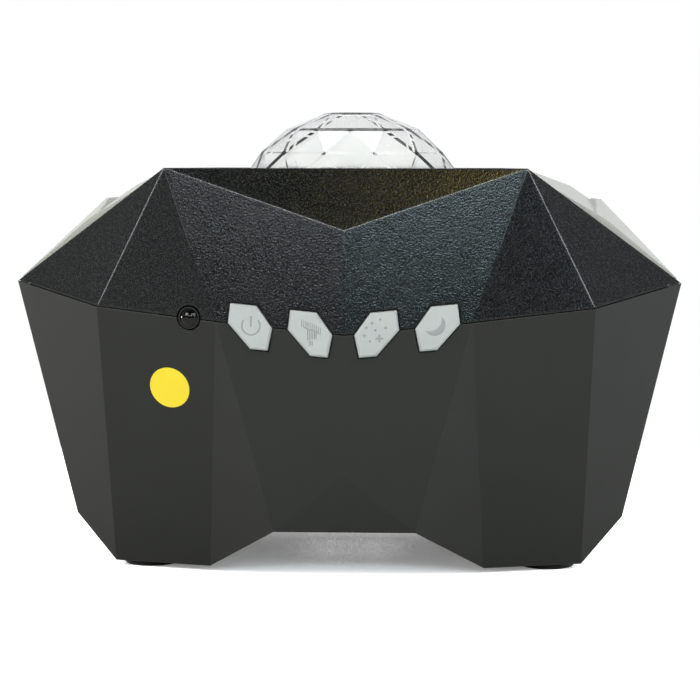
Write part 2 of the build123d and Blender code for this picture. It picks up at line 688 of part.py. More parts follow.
with BuildPart() as inner_frame:
    with BuildSketch(Plane.XY.offset(FRAME_Z)):
        RectangleRounded(2 * POST_X + 12, 2 * POST_Y + 12, 5)
        Circle(38)
    extrude(amount=FRAME_T)
    column(0, 0, TUBE_FOOT, FRAME_Z, TUBE_R + 1)
    column(0, 0, FRAME_Z, SHOULDER_TOP, TUBE_R + 2.2)
    column(0, 0, FRAME_Z, TUBE_TOP, TUBE_R)
    column(STAR_X, 0, FRAME_Z, SHOULDER_TOP, 8.0)
    column(STAR_X, 0, FRAME_Z, TUBE_TOP, 6.0)
    column(STAR_X, 0, FRAME_Z - 6, FRAME_Z, 6.4)
    for x in (LED_SCREW_X, -LED_SCREW_X):
        column(x, 0, TUBE_FOOT, FRAME_Z, 3.2)
        column(x, 0, TUBE_FOOT - 1, TUBE_FOOT + 8, 0.98, Mode.SUBTRACT)
    for x, y in around(BRIDGE_R, BRIDGE_ANGLES):
        column(x, y, FRAME_Z, BRIDGE_Z, BRIDGE_POST)
        column(x, y, BRIDGE_Z - 8, BRIDGE_Z + 1, 0.98, Mode.SUBTRACT)
    for x, y in four(POST_X, POST_Y):
        column(x, y, FRAME_Z - 1, FRAME_Z + FRAME_T + 1, 1.6, Mode.SUBTRACT)
    column(0, 0, TUBE_FOOT - 1, TUBE_TOP + 1, TUBE_BORE, Mode.SUBTRACT)
    column(STAR_X, 0, FRAME_Z - 7, TUBE_TOP + 1, LASER_R + 0.1, Mode.SUBTRACT)
    column(MOON_X, 0, FRAME_Z - 1, FRAME_Z + FRAME_T + 1, 6.1, Mode.SUBTRACT)
    column(PINION_X, PINION_Y, FRAME_Z - 1, FRAME_Z + FRAME_T + 1, 3.3, Mode.SUBTRACT)
inner_frame.part.label = "inner_frame"

with BuildPart() as heat_sink:
    column(0, 0, HEAT_TOP - HEAT_BASE, HEAT_TOP, HEAT_R)
    with BuildSketch(Plane.XY.offset(HEAT_FOOT)):
        with GridLocations(5.2, 0, 7, 1):
            Rectangle(1.4, 2 * HEAT_R)
        Circle(HEAT_R, mode=Mode.INTERSECT)
    extrude(amount=HEAT_TOP - HEAT_FOOT - HEAT_BASE + 0.5)
    for x in (LED_SCREW_X, -LED_SCREW_X):
        column(x, 0, HEAT_FOOT - 1, HEAT_TOP - HEAT_BASE, 2.6, Mode.SUBTRACT)
        column(x, 0, HEAT_FOOT - 1, HEAT_TOP + 1, 1.1, Mode.SUBTRACT)
heat_sink.part.label = "heat_sink"

with BuildPart() as led_board:
    column(0, 0, HEAT_TOP, HEAT_TOP + BOARD_T, HEAT_R - 0.5)
    for x in (LED_SCREW_X, -LED_SCREW_X):
        column(x, 0, HEAT_TOP - 1, HEAT_TOP + BOARD_T + 1, 1.1, Mode.SUBTRACT)
led_board.part.label = "led_board"

with BuildPart() as led_emitters:
    with BuildSketch(Plane.XY.offset(HEAT_TOP + BOARD_T)):
        with GridLocations(4.6, 4.6, 2, 2):
            Rectangle(3.5, 3.5)
    extrude(amount=1.1)
    with BuildSketch(Plane.XY.offset(HEAT_TOP + BOARD_T + 1.1)):
        with GridLocations(4.6, 4.6, 2, 2):
            Circle(1.4)
    extrude(amount=0.5, taper=25)
led_emitters.part.label = "led_emitters"

rim, low = TUBE_BORE - LENS_FIT, LENS_FOOT + LENS_RIM
with BuildPart() as collimator_lens:
    with BuildSketch(Plane.XZ):
        with BuildLine():
            Line((0, LENS_FOOT), (rim, LENS_FOOT))
            Line((rim, LENS_FOOT), (rim, low))
            ThreePointArc((rim, low), lens_middle(rim, low, LENS_SAG), (0, low + LENS_SAG))
            Line((0, low + LENS_SAG), (0, LENS_FOOT))
        make_face()
    revolve(axis=Axis.Z)
collimator_lens.part.label = "collimator_lens"


# ============================================================ gears
def flank(teeth, rho):
    """Half angle of a tooth at one radius: half thickness less the involute there."""
    pitch = MODULE * teeth / 2
    base = pitch * cos(PRESSURE)
    turn = acos(min(1.0, base / rho))
    half = pi / (2 * teeth) - BACKLASH / (2 * pitch)
    return half + (tan(PRESSURE) - PRESSURE) - (tan(turn) - turn)


def gear_points(teeth, phase):
    """Outline of a spur gear with involute flanks; a tooth points along the phase."""
    pitch = MODULE * teeth / 2
    root, tip = pitch - DEDENDUM * MODULE, pitch + ADDENDUM * MODULE
    start = max(root + 0.05, pitch * cos(PRESSURE))
    radii = [start + (tip - start) * k / 3 for k in range(4)]
    points = []
    for i in range(teeth):
        mid = radians(phase) + 2 * pi * i / teeth
        side = [(root, flank(teeth, start) * 1.12)] + [(rho, flank(teeth, rho)) for rho in radii]
        points += [(rho * cos(mid - a), rho * sin(mid - a)) for rho, a in side]
        points += [(rho * cos(mid + a), rho * sin(mid + a)) for rho, a in reversed(side)]
    return points


def gear_blank(x, y, teeth, phase, low, high):
    with BuildSketch(Plane.XY.offset(low)) as wheel:
        with BuildLine() as edge:
            Polyline(*[(x + px, y + py) for px, py in gear_points(teeth, phase)], close=True)
        make_face(edge.line)
    extrude(wheel.sketch, amount=high - low)


with BuildPart() as ripple_gear:
    gear_blank(0, 0, RIPPLE_TEETH, 0, GEAR_Z, GEAR_Z + GEAR_T)
    column(0, 0, GEAR_Z + GEAR_T, TUBE_TOP + 0.35, 16.0)
    column(0, 0, GEAR_Z - 1, TUBE_TOP + 2, TUBE_R + BEARING, Mode.SUBTRACT)
ripple_gear.part.label = "ripple_gear"

with BuildPart() as ripple_disc:
    column(0, 0, TUBE_TOP + 0.35, TUBE_TOP + 2.35, 16.0)
ripple_disc.part.label = "ripple_disc"

with BuildPart() as star_gear:
    gear_blank(STAR_X, 0, STAR_TEETH, 180 / STAR_TEETH, GEAR_Z, GEAR_Z + GEAR_T)
    column(STAR_X, 0, GEAR_Z + GEAR_T, TUBE_TOP + 0.35, 9.0)
    column(STAR_X, 0, GEAR_Z - 1, TUBE_TOP + 2, 6.0 + BEARING, Mode.SUBTRACT)
star_gear.part.label = "star_gear"

with BuildPart() as star_grating:
    column(STAR_X, 0, TUBE_TOP + 0.35, TUBE_TOP + 1.55, 9.0)
star_grating.part.label = "star_grating"

with BuildPart() as drive_pinion:
    phase = PINION_ANGLE + 180 + 180 / PINION_TEETH
    gear_blank(PINION_X, PINION_Y, PINION_TEETH, phase, GEAR_Z, GEAR_Z + GEAR_T)
    column(PINION_X, PINION_Y, GEAR_Z - 1.4, GEAR_Z, 3.2)
    column(PINION_X, PINION_Y, GEAR_Z - 3, GEAR_Z + GEAR_T + 1, SHAFT_R, Mode.SUBTRACT)
drive_pinion.part.label = "drive_pinion"


# ============================================================ star, moon and drive units
with BuildPart() as star_laser:
    column(STAR_X, 0, FRAME_Z - 12, TUBE_TOP - 2, LASER_R)
    column(STAR_X, 0, FRAME_Z - 12, FRAME_Z - 9, LASER_R + 1.2)
    column(STAR_X, 0, TUBE_TOP - 4, TUBE_TOP, 2.2, Mode.SUBTRACT)
star_laser.part.label = "star_laser"

with BuildPart() as drive_motor:
    column(PINION_X, PINION_Y, MOTOR_FOOT, FRAME_Z, MOTOR_R)
    column(PINION_X, PINION_Y, FRAME_Z, FRAME_Z + FRAME_T - 0.6, 3.25)
    column(PINION_X, PINION_Y, FRAME_Z - 6, FRAME_Z + FRAME_T, SHAFT_R + BEARING, Mode.SUBTRACT)
    with Locations((PINION_X + 3.2, PINION_Y, MOTOR_FOOT - 2.2), (PINION_X - 3.2, PINION_Y, MOTOR_FOOT - 2.2)):
        Box(0.6, 2.0, 2.4, align=UP)
    chamfer(drive_motor.edges().filter_by(GeomType.CIRCLE).group_by(Axis.Z)[0], length=0.6)
drive_motor.part.label = "drive_motor"

with BuildPart() as motor_shaft:
    column(PINION_X, PINION_Y, FRAME_Z - 5.5, GEAR_Z + GEAR_T + 0.6, SHAFT_R)
motor_shaft.part.label = "motor_shaft"

with BuildPart() as moon_barrel:
    column(MOON_X, 0, FRAME_Z + FRAME_T, MOON_TOP, MOON_R)
    column(MOON_X, 0, FRAME_Z, FRAME_Z + FRAME_T, 6.05)
    column(MOON_X, 0, FRAME_Z - 1, FRAME_Z + 16, 4.6, Mode.SUBTRACT)
    column(MOON_X, 0, FRAME_Z + 16, MOON_TOP + 1, 5.6, Mode.SUBTRACT)
    chamfer(moon_barrel.edges().group_by(Axis.Z)[-1], length=0.4)
moon_barrel.part.label = "moon_barrel"

with BuildPart() as moon_slide:
    column(MOON_X, 0, FRAME_Z + 16, FRAME_Z + 16.8, 5.55)
moon_slide.part.label = "moon_slide"

with BuildPart() as moon_lens:
    with BuildSketch(Plane(origin=(MOON_X, 0, 0), x_dir=(1, 0, 0), z_dir=(0, -1, 0))):
        with BuildLine():
            Line((0, MOON_TOP - 5), (5.55, MOON_TOP - 5))
            Line((5.55, MOON_TOP - 5), (5.55, MOON_TOP - 3.4))
            ThreePointArc((5.55, MOON_TOP - 3.4), lens_middle(5.55, MOON_TOP - 3.4, 1.9), (0, MOON_TOP - 1.5))
            Line((0, MOON_TOP - 1.5), (0, MOON_TOP - 5))
        make_face()
    revolve(axis=Axis((MOON_X, 0, 0), (0, 0, 1)))
moon_lens.part.label = "moon_lens"

with BuildPart() as moon_spacer:
    column(MOON_X, 0, FRAME_Z + 16.8, MOON_TOP - 5, 5.5)
    column(MOON_X, 0, FRAME_Z + 16, MOON_TOP - 4, 4.8, Mode.SUBTRACT)
moon_spacer.part.label = "moon_spacer"

with BuildPart() as moon_led_board:
    column(MOON_X, 0, FRAME_Z - BOARD_T, FRAME_Z, 7.5)
    with Locations((MOON_X, 0, FRAME_Z)):
        Box(3.4, 3.4, 1.6, align=UP)
moon_led_board.part.label = "moon_led_board"

with BuildPart() as bridge_plate:
    column(0, 0, BRIDGE_Z, BRIDGE_Z + BRIDGE_T, BRIDGE_R + BRIDGE_RIM)
    with Locations((STAR_X - 1, 0, BRIDGE_Z)):
        Box(18, 20, BRIDGE_T, align=UP)
    column(0, 0, BRIDGE_Z - 1, BRIDGE_Z + BRIDGE_T + 1, 15.0, Mode.SUBTRACT)
    column(STAR_X + 1, 0, BRIDGE_Z - 1, BRIDGE_Z + BRIDGE_T + 1, 6.0, Mode.SUBTRACT)
    column(MOON_X, 0, BRIDGE_Z - 1, BRIDGE_Z + BRIDGE_T + 1, MOON_R + 0.2, Mode.SUBTRACT)
    for x, y in around(BRIDGE_R, BRIDGE_ANGLES):
        column(x, y, BRIDGE_Z - 1, BRIDGE_Z + BRIDGE_T + 1, 1.1, Mode.SUBTRACT)
bridge_plate.part.label = "bridge_plate"

with BuildPart() as fixed_ripple_lens:
    column(0, 0, BRIDGE_Z + BRIDGE_T, BRIDGE_Z + BRIDGE_T + 2.0, 17.0)
fixed_ripple_lens.part.label = "fixed_ripple_lens"


# ============================================================ buttons and their switches
def button(x, z):
    """One button: face standing out of the wall, retaining land, stem to the switch."""
    frame = button_frame(x, z)
    with BuildPart() as key:
        with BuildSketch(frame.offset(-BUTTON_BACK)):
            button_outline(x, 0)
        extrude(amount=BUTTON_BACK + BUTTON_PROUD)
        chamfer(front_rim(key, frame), length=0.5)
        with BuildSketch(frame.offset(-BUTTON_BACK)):
            button_outline(x, 1.3)
        extrude(amount=-BUTTON_LAND)
        reach = (STEM_END_Y - frame.origin.Y) / -frame.z_dir.Y
        with BuildSketch(frame.offset(-BUTTON_BACK)):
            Circle(STEM_R)
        extrude(amount=-(reach - BUTTON_BACK))
    return key.part


def front_rim(key, frame):
    """Edges round the face of a button."""
    face = key.faces().filter_by(lambda f: abs(f.normal_at().dot(frame.z_dir) - 1) < 1e-4)
    return face.sort_by(Axis(frame.origin, frame.z_dir))[-1].edges()


with BuildPart() as button_power:
    add(button(*BUTTONS["button_power"]))
button_power.part.label = "button_power"

with BuildPart() as button_aurora:
    add(button(*BUTTONS["button_aurora"]))
button_aurora.part.label = "button_aurora"

with BuildPart() as button_stars:
    add(button(*BUTTONS["button_stars"]))
button_stars.part.label = "button_stars"

with BuildPart() as button_moon:
    add(button(*BUTTONS["button_moon"]))
button_moon.part.label = "button_moon"


def flat_wall(y, thickness, outline, mode=Mode.ADD):
    """Upright plate from y backwards; outline draws it with X right and Z up."""
    with BuildSketch(Plane.XZ.offset(-y)) as plate:
        outline()
    extrude(plate.sketch, amount=-thickness, mode=mode)


def guide_outline():
    with Locations((0, INNER_Z + 1.05)):
        RectangleRounded(68, 15, 2)
    with Locations((GUIDE_BOSS_X, GUIDE_BOSS_Z - 5), (-GUIDE_BOSS_X, GUIDE_BOSS_Z - 5)):
        RectangleRounded(7, 16, 2)


def guide_bosses():
    with Locations((GUIDE_BOSS_X, GUIDE_BOSS_Z), (-GUIDE_BOSS_X, GUIDE_BOSS_Z)):
        Circle(2.8)


def guide_screw_holes():
    with Locations((GUIDE_BOSS_X, GUIDE_BOSS_Z), (-GUIDE_BOSS_X, GUIDE_BOSS_Z)):
        Circle(1.15)


with BuildPart() as button_guide:
    flat_wall(GUIDE_Y, GUIDE_T, guide_outline)
    flat_wall(GUIDE_Y, BUTTON_BOARD_Y - GUIDE_Y, guide_bosses)
    flat_wall(GUIDE_Y - 1, 12, guide_screw_holes, Mode.SUBTRACT)
    for x, z in BUTTONS.values():
        with BuildSketch(button_frame(x, z)):
            Circle(STEM_R + 0.09)
        extrude(amount=-20, mode=Mode.SUBTRACT)
button_guide.part.label = "button_guide"


def board_outline():
    with Locations((-8, INNER_Z + 2.05)):
        RectangleRounded(88, 17, 1)
    with Locations((0, GUIDE_BOSS_Z - 2.5)):
        RectangleRounded(46, 12, 1)


with BuildPart() as button_board:
    flat_wall(BUTTON_BOARD_Y, BOARD_T, board_outline)
    flat_wall(BUTTON_BOARD_Y - 1, 5, guide_screw_holes, Mode.SUBTRACT)
button_board.part.label = "button_board"


def switch_bodies():
    for x, z in BUTTONS.values():
        with Locations((x, z)):
            Rectangle(6.0, 6.0)


def switch_plungers():
    for x, z in BUTTONS.values():
        with Locations((x, z)):
            Circle(1.7)


with BuildPart() as tact_switches:
    flat_wall(BUTTON_BOARD_Y - SWITCH_H, SWITCH_H, switch_bodies)
    flat_wall(PLUNGER_Y, 1.4, switch_plungers)
tact_switches.part.label = "tact_switches"


def guide_screw_heads():
    with Locations((GUIDE_BOSS_X, GUIDE_BOSS_Z), (-GUIDE_BOSS_X, GUIDE_BOSS_Z)):
        Circle(1.9)


def guide_screw_shanks():
    with Locations((GUIDE_BOSS_X, GUIDE_BOSS_Z), (-GUIDE_BOSS_X, GUIDE_BOSS_Z)):
        Circle(0.95)


with BuildPart() as guide_screws:
    flat_wall(BUTTON_BOARD_Y + BOARD_T, 1.3, guide_screw_heads)
    flat_wall(GUIDE_Y - 3.0, BUTTON_BOARD_Y + BOARD_T - GUIDE_Y + 3.0, guide_screw_shanks)
guide_screws.part.label = "guide_screws"

with BuildPart() as infrared_window:
    with BuildSketch(eye_frame().offset(-4.2)):
        Circle(EYE_R)
    extrude(amount=4.2 - EYE_SINK)
    with Locations(eye_frame().offset(-EYE_SINK)):
        Sphere(EYE_R, arc_size1=0)
    with BuildSketch(eye_frame().offset(-4.2)):
        Circle(EYE_R + 1.3)
    extrude(amount=-1.2)
infrared_window.part.label = "infrared_window"


def receiver_outline():
    with Locations((EYE_X, EYE_Z)):
        RectangleRounded(6.4, 7.0, 0.8)


with BuildPart() as infrared_receiver:
    flat_wall(BUTTON_BOARD_Y - 4.2, 4.2, receiver_outline)
infrared_receiver.part.label = "infrared_receiver"

LABEL_PLANE = turned(LOBE_FACET, -1, 1)
with BuildPart() as infrared_label:
    with BuildSketch(Plane(origin=on_facet(LABEL_PLANE, LABEL_X, LABEL_Z), z_dir=LABEL_PLANE.z_dir)):
        Circle(LABEL_R)
    extrude(amount=LABEL_T)
infrared_label.part.label = "infrared_label"


# ============================================================ boards, socket, loudspeaker
with BuildPart() as main_board:
    with BuildSketch(Plane.XY.offset(MAIN_BOARD_Z)):
        with Locations((-67.3, 0)):
            RectangleRounded(25.4, 52, 1.5)
        with Locations((-62.5, 27)):
            RectangleRounded(15.8, 12, 1)
    extrude(amount=BOARD_T)
    for x, y in MAIN_POSTS:
        column(x, y, MAIN_BOARD_Z - 1, MAIN_BOARD_Z + 3, 1.1, Mode.SUBTRACT)
main_board.part.label = "main_board"

CHIPS = (
    (-67, -6, 9.0, 9.0, 1.2),
    (-66, 8, 5.0, 6.0, 1.5),
    (-74, 3, 4.0, 5.0, 1.4),
    (-60, -8, 3.0, 5.0, 1.3),
    (-75, -10, 5.0, 5.0, 3.0),
    (-65, -18, 10.0, 5.5, 6.0),
    (-70, 17, 8.0, 5.5, 6.0),
)
with BuildPart() as board_components:
    top = MAIN_BOARD_Z + BOARD_T
    for x, y, wide, deep, tall in CHIPS:
        with Locations((x, y, top)):
            Box(wide, deep, tall, align=UP)
    for x, y in ((-58.5, 3), (-58.5, 10)):
        column(x, y, top, top + 7, 2.5)
board_components.part.label = "board_components"

SOCKET_FACE = 42.0
with BuildPart() as dc_socket:
    with Locations((SOCKET_X, 30.0, MAIN_BOARD_Z + BOARD_T)):
        Box(9.0, 13.0, 11.0, align=UP)
    with BuildSketch(Plane(origin=(SOCKET_X, 36, SOCKET_Z), x_dir=(-1, 0, 0), z_dir=(0, 1, 0))):
        Circle(4.0)
    extrude(amount=SOCKET_FACE - 36)
    with BuildSketch(Plane(origin=(SOCKET_X, 32, SOCKET_Z), x_dir=(-1, 0, 0), z_dir=(0, 1, 0))):
        Circle(SOCKET_BORE)
        Circle(1.0, mode=Mode.SUBTRACT)
    extrude(amount=SOCKET_FACE - 31, mode=Mode.SUBTRACT)
dc_socket.part.label = "dc_socket"

with BuildPart() as speaker_frame:
    with BuildSketch(SPEAKER_PLANE.offset(-1.4)):
        Circle(SPEAKER_R)
        Circle(SPEAKER_R - 2.5, mode=Mode.SUBTRACT)
    extrude(amount=1.4)
    with BuildSketch(SPEAKER_PLANE.offset(-1.4)):
        Circle(SPEAKER_R - 1.5)
    extrude(amount=-7.0, taper=35)
    with BuildSketch(SPEAKER_PLANE.offset(-1.4)):
        Circle(SPEAKER_R - 2.5)
    extrude(amount=-6.2, taper=35, mode=Mode.SUBTRACT)
speaker_frame.part.label = "speaker_frame"

with BuildPart() as speaker_cone:
    with BuildSketch(SPEAKER_PLANE.offset(-1.0)):
        Circle(SPEAKER_R - 2.6)
    extrude(amount=-4.4, taper=50)
    with BuildSketch(SPEAKER_PLANE.offset(-1.0)):
        Circle(SPEAKER_R - 3.1)
    extrude(amount=-3.9, taper=50, mode=Mode.SUBTRACT)
    with Locations(SPEAKER_PLANE.offset(-5.6)):
        Cylinder(6.0, 2.0, align=UP)
speaker_cone.part.label = "speaker_cone"

with BuildPart() as speaker_magnet:
    with BuildSketch(SPEAKER_PLANE.offset(-8.4)):
        Circle(11.5)
    extrude(amount=-7.0)
    with BuildSketch(SPEAKER_PLANE.offset(-15.4)):
        Circle(9.5)
    extrude(amount=-1.2)
speaker_magnet.part.label = "speaker_magnet"


def lamp_board(x):
    with BuildPart() as board:
        with Locations((x, 0, LAMP_Z)):
            Box(9.0, 62.0, BOARD_T, align=UP)
        for y in (-28, 28):
            column(x, y, LAMP_Z - 1, LAMP_Z + 3, 1.1, Mode.SUBTRACT)
    return board.part


with BuildPart() as light_board_left:
    add(lamp_board(-LAMP_X))
light_board_left.part.label = "light_board_left"

with BuildPart() as light_board_right:
    add(lamp_board(LAMP_X))
light_board_right.part.label = "light_board_right"

with BuildPart() as light_emitters:
    for x in (LAMP_X, -LAMP_X):
        for y in (-18, -6, 6, 18):
            with Locations((x, y, LAMP_Z + BOARD_T)):
                Box(5.0, 5.0, 1.5, align=UP)
light_emitters.part.label = "light_emitters"


# ============================================================ export
PARTS = (
    lower_housing, upper_housing, side_cover_left, side_cover_right, crystal_dome, dome_ring,
    aperture_plate, housing_screws, frame_screws, dome_screws, bridge_screws, heat_sink_screws,
    board_screws, guide_screws, rubber_feet, inner_frame, heat_sink, led_board, led_emitters,
    collimator_lens, ripple_gear, ripple_disc, star_gear, star_grating, star_laser, drive_motor,
    motor_shaft, drive_pinion, moon_barrel, moon_slide, moon_lens, moon_spacer, moon_led_board,
    bridge_plate, fixed_ripple_lens, button_power, button_aurora, button_stars, button_moon,
    button_guide, button_board, tact_switches, infrared_window, infrared_receiver,
    infrared_label, main_board, board_components, dc_socket, speaker_frame, speaker_cone,
    speaker_magnet, light_board_left, light_board_right, light_emitters,
)
os.makedirs("parts", exist_ok=True)
for item in PARTS:
    export_step(item.part, "parts/" + item.part.label + ".step")
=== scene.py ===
"""Planetarium projector: finishes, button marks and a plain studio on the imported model.

Lengths in this file are metres unless a name ends in _mm.  Z is up and the front is -Y.
"""
import math

import bmesh
import bpy
import numpy as np
from mathutils import Matrix, Vector


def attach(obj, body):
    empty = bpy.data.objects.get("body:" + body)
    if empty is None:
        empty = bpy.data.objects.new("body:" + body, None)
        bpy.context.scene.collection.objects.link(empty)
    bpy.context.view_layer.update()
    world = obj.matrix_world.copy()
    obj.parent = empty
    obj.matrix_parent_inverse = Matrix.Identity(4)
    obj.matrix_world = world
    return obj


bl_info = {
    "name": "Planetarium projector",
    "version": (1, 0, 0),
    "blender": (4, 5, 0),
    "location": "View3D > Sidebar > Projector",
    "description": "Finishes, button marks and studio for a faceted star and aurora projector",
    "category": "Object",
}

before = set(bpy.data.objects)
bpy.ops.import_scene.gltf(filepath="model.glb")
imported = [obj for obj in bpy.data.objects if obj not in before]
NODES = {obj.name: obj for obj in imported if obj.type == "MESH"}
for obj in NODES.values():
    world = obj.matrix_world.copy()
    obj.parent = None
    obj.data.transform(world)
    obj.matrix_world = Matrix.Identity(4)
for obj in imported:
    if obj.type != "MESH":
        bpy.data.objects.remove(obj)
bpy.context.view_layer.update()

MM = 0.001
# The belt line seen from above, on which the buttons sit.
PROW_Y = -68.5 * MM
BELT_IN = (36.9 * MM, -64.7 * MM)
BUTTON_PROUD = 0.9 * MM
# Marks reach this far under the face that they stand on, so that no gap shows.
SUNK_MM = 0.06
BUTTON_PLACES = {
    "power": (-26.6 * MM, 75.5 * MM),
    "aurora": (-9.3 * MM, 73.75 * MM),
    "stars": (9.3 * MM, 73.75 * MM),
    "moon": (26.6 * MM, 75.5 * MM),
}

# A rounded normal starts to count as an edge at the first cosine and fully at the second.
EDGE_COSINES = (0.994, 0.9875)
# The upper shell's edges get a painted highlight where the rounded normal rises by the middle of
# these shares, and only above POCKETS_TOP or outside POCKETS_SIDE, each fading in over its range.
HIGHLIGHT_FROM, HIGHLIGHT_TO = (0.06, 0.10), (0.22, 0.28)
POCKETS_TOP = (96 * MM, 99 * MM)
POCKETS_SIDE = (55 * MM, 58 * MM)

# The camera's image, in pixels, and its sensor, in mm.
IMAGE_SIDE = 700.0
SENSOR_MM = 36.0
# Height at which every lamp is aimed.
LAMP_AIM = 80 * MM
# Name, place (degrees to the right of the front and above the floor), distance, size, radiance
# and colour of each lamp.
LAMPS = (
    ("lamp_left", (-44.0, 34.0), 1.6, (0.8, 0.7), 7.2, "#FFFBF8"),
    ("lamp_right", (44.0, 34.0), 1.6, (0.8, 0.7), 4.8, "#F6FAFF"),
    ("lamp_top", (180.0, 72.0), 1.6, (1.2, 0.9), 2.0, "#FFFFFF"),
    ("window_left", (-12.0, 22.0), 1.6, (0.42, 0.16), 9.4, "#F2FAFF"),
    ("window_right", (12.0, 22.0), 1.6, (0.42, 0.16), 13.4, "#D8F4FF"),
    ("lamp_warm", (15.0, 38.0), 1.6, (0.26, 0.26), 13.0, "#FFE274"),
    ("lamp_side_left", (-112.0, 2.5), 1.5, (0.9, 0.2), 25.0, "#FFFFF6"),
    ("lamp_side_right", (112.0, 2.5), 1.5, (0.9, 0.2), 26.0, "#F4FAFF"),
    ("lamp_low_left", (-32.0, 6.0), 1.6, (0.36, 0.24), 0.5, "#FFFFFF"),
    ("lamp_far_left", (-72.0, 18.0), 1.6, (0.5, 0.5), 0.5, "#FFFFFF"),
    ("lamp_far_right", (72.0, 18.0), 1.6, (0.5, 0.5), 0.5, "#FFFFFF"),
    ("strip_left", (-45.0, 9.0), 1.6, (0.10, 0.22), 3.0, "#FFFFFF"),
    ("strip_right", (45.0, 9.0), 1.6, (0.16, 0.22), 9.0, "#E6F2FF"),
)
# Direction of the dim corner of the room, the degrees round it that are fully dim and those
# at which it ends, and the share of light that it lacks.
DIM_CORNER = (-7.0, 42.0, 12.0, 32.0)
DIM_SHARE = 0.93
# The floor ends this far behind the object and reaches this far to each side.
FLOOR_BACK = 0.25
FLOOR_REACH = 6.0


# ---------------------------------------------------------------- helpers
def linear(colour):
    """Linear colour of an sRGB hex value such as "#1C1E1D"."""
    parts = np.array([int(colour[i:i + 2], 16) for i in (1, 3, 5)]) / 255
    line = np.where(parts <= 0.04045, parts / 12.92, ((parts + 0.055) / 1.055) ** 2.4)
    return (*line.tolist(), 1.0)


def per_metre(size_mm):
    """Texture scale at which one cell of a pattern is size_mm wide in object coordinates."""
    return 1000.0 / size_mm


def add(tree, kind, inputs=None, **settings):
    """Adds a shader node with its settings; an input takes a value or another node's output."""
    made = tree.nodes.new(kind)
    for name, value in settings.items():
        setattr(made, name, value)
    for name, value in (inputs or {}).items():
        if isinstance(value, bpy.types.NodeSocket):
            tree.links.new(value, made.inputs[name])
        else:
            made.inputs[name].default_value = value
    return made


def surface(name, **values):
    """A new material with one Principled surface; returns the material, its tree and shader."""
    made = bpy.data.materials.new(name)
    made.use_nodes = True
    tree = made.node_tree
    tree.nodes.clear()
    shader = add(tree, "ShaderNodeBsdfPrincipled")
    out = add(tree, "ShaderNodeOutputMaterial", {"Surface": shader.outputs["BSDF"]})
    out.is_active_output = True
    for socket, value in values.items():
        shader.inputs[socket.replace("_", " ")].default_value = value
    return made, tree, shader


def place(tree):
    """The object's own coordinates, in metres."""
    return add(tree, "ShaderNodeTexCoord").outputs["Object"]


def noise(tree, where, size_mm, detail=3.0, rough=0.55):
    """Soft noise with cells of size_mm; gives the factor output."""
    made = add(tree, "ShaderNodeTexNoise", {
        "Vector": where, "Scale": per_metre(size_mm), "Detail": detail, "Roughness": rough})
    return made.outputs["Fac"]


def span(tree, factor, low, high, start=0.3, end=0.7):
    """Maps a factor between start and end onto the range low to high."""
    made = add(tree, "ShaderNodeMapRange", {
        "Value": factor, "From Min": start, "From Max": end, "To Min": low, "To Max": high})
    return made.outputs["Result"]


def tint(tree, factor, first, second, amount=1.0):
    """Blends two hex colours by a factor."""
    made = add(tree, "ShaderNodeMix", data_type="RGBA")
    share = add(tree, "ShaderNodeMath", {0: factor, 1: amount}, operation="MULTIPLY").outputs[0]
    tree.links.new(share, made.inputs[0])
    made.inputs[6].default_value = linear(first)
    made.inputs[7].default_value = linear(second)
    return made.outputs[2]


def relief(tree, height, depth_mm, strength=1.0, normal=None):
    """Bump of the height factor, depth_mm deep, over an optional normal."""
    inputs = {"Height": height, "Distance": depth_mm * MM, "Strength": strength}
    if normal is not None:
        inputs["Normal"] = normal
    return add(tree, "ShaderNodeBump", inputs).outputs["Normal"]


def rounded(tree, radius_mm):
    """Normal that turns smoothly over an edge, as a moulded edge of that radius does."""
    return add(tree, "ShaderNodeBevel", {"Radius": radius_mm * MM}, samples=6).outputs["Normal"]


def edge_share(tree, normal):
    """Zero on flat walls, rising to one where the rounded normal leaves the true normal."""
    flat = add(tree, "ShaderNodeNewGeometry").outputs["True Normal"]
    dot = add(tree, "ShaderNodeVectorMath", {0: flat, 1: normal}, operation="DOT_PRODUCT")
    return span(tree, dot.outputs["Value"], 0.0, 1.0, *EDGE_COSINES)


def mesh_piece(name, verts, faces):
    """A new object at the origin with the given points and faces, merged and facing outwards."""
    data = bpy.data.meshes.new(name)
    data.from_pydata(verts.tolist(), [], faces)
    work = bmesh.new()
    work.from_mesh(data)
    bmesh.ops.remove_doubles(work, verts=work.verts, dist=2e-6)
    bmesh.ops.dissolve_degenerate(work, dist=1e-6, edges=work.edges)
    bmesh.ops.recalc_face_normals(work, faces=work.faces)
    work.to_mesh(data)
    work.free()
    data.update()
    made = bpy.data.objects.new(name, data)
    bpy.context.scene.collection.objects.link(made)
    return made


def lofted(rings):
    """Points and faces of closed rings joined one to the next, with a cap at each end.

    rings has the shape (rings, points round, 3).
    """
    count, around = rings.shape[:2]
    index = np.arange(count * around).reshape(count, around)
    turn = np.roll(index, -1, axis=1)
    quads = np.stack([index[:-1], turn[:-1], turn[1:], index[1:]], axis=-1).reshape(-1, 4)
    faces = quads.tolist() + [index[0].tolist(), index[-1][::-1].tolist()]
    return rings.reshape(-1, 3), faces


def joined(parts):
    """One list of points and faces from several."""
    verts, faces, start = [], [], 0
    for points, polygons in parts:
        verts.append(points)
        faces += [[start + i for i in polygon] for polygon in polygons]
        start += len(points)
    return np.vstack(verts), faces


def shade_smooth(piece, angle=30.0):
    """Smooth shading with sharp edges where faces meet at more than the angle."""
    work = bmesh.new()
    work.from_mesh(piece.data)
    limit = math.radians(angle)
    for edge in work.edges:
        edge.smooth = len(edge.link_faces) == 2 and edge.calc_face_angle(0.0) < limit
    for face in work.faces:
        face.smooth = True
    work.to_mesh(piece.data)
    work.free()


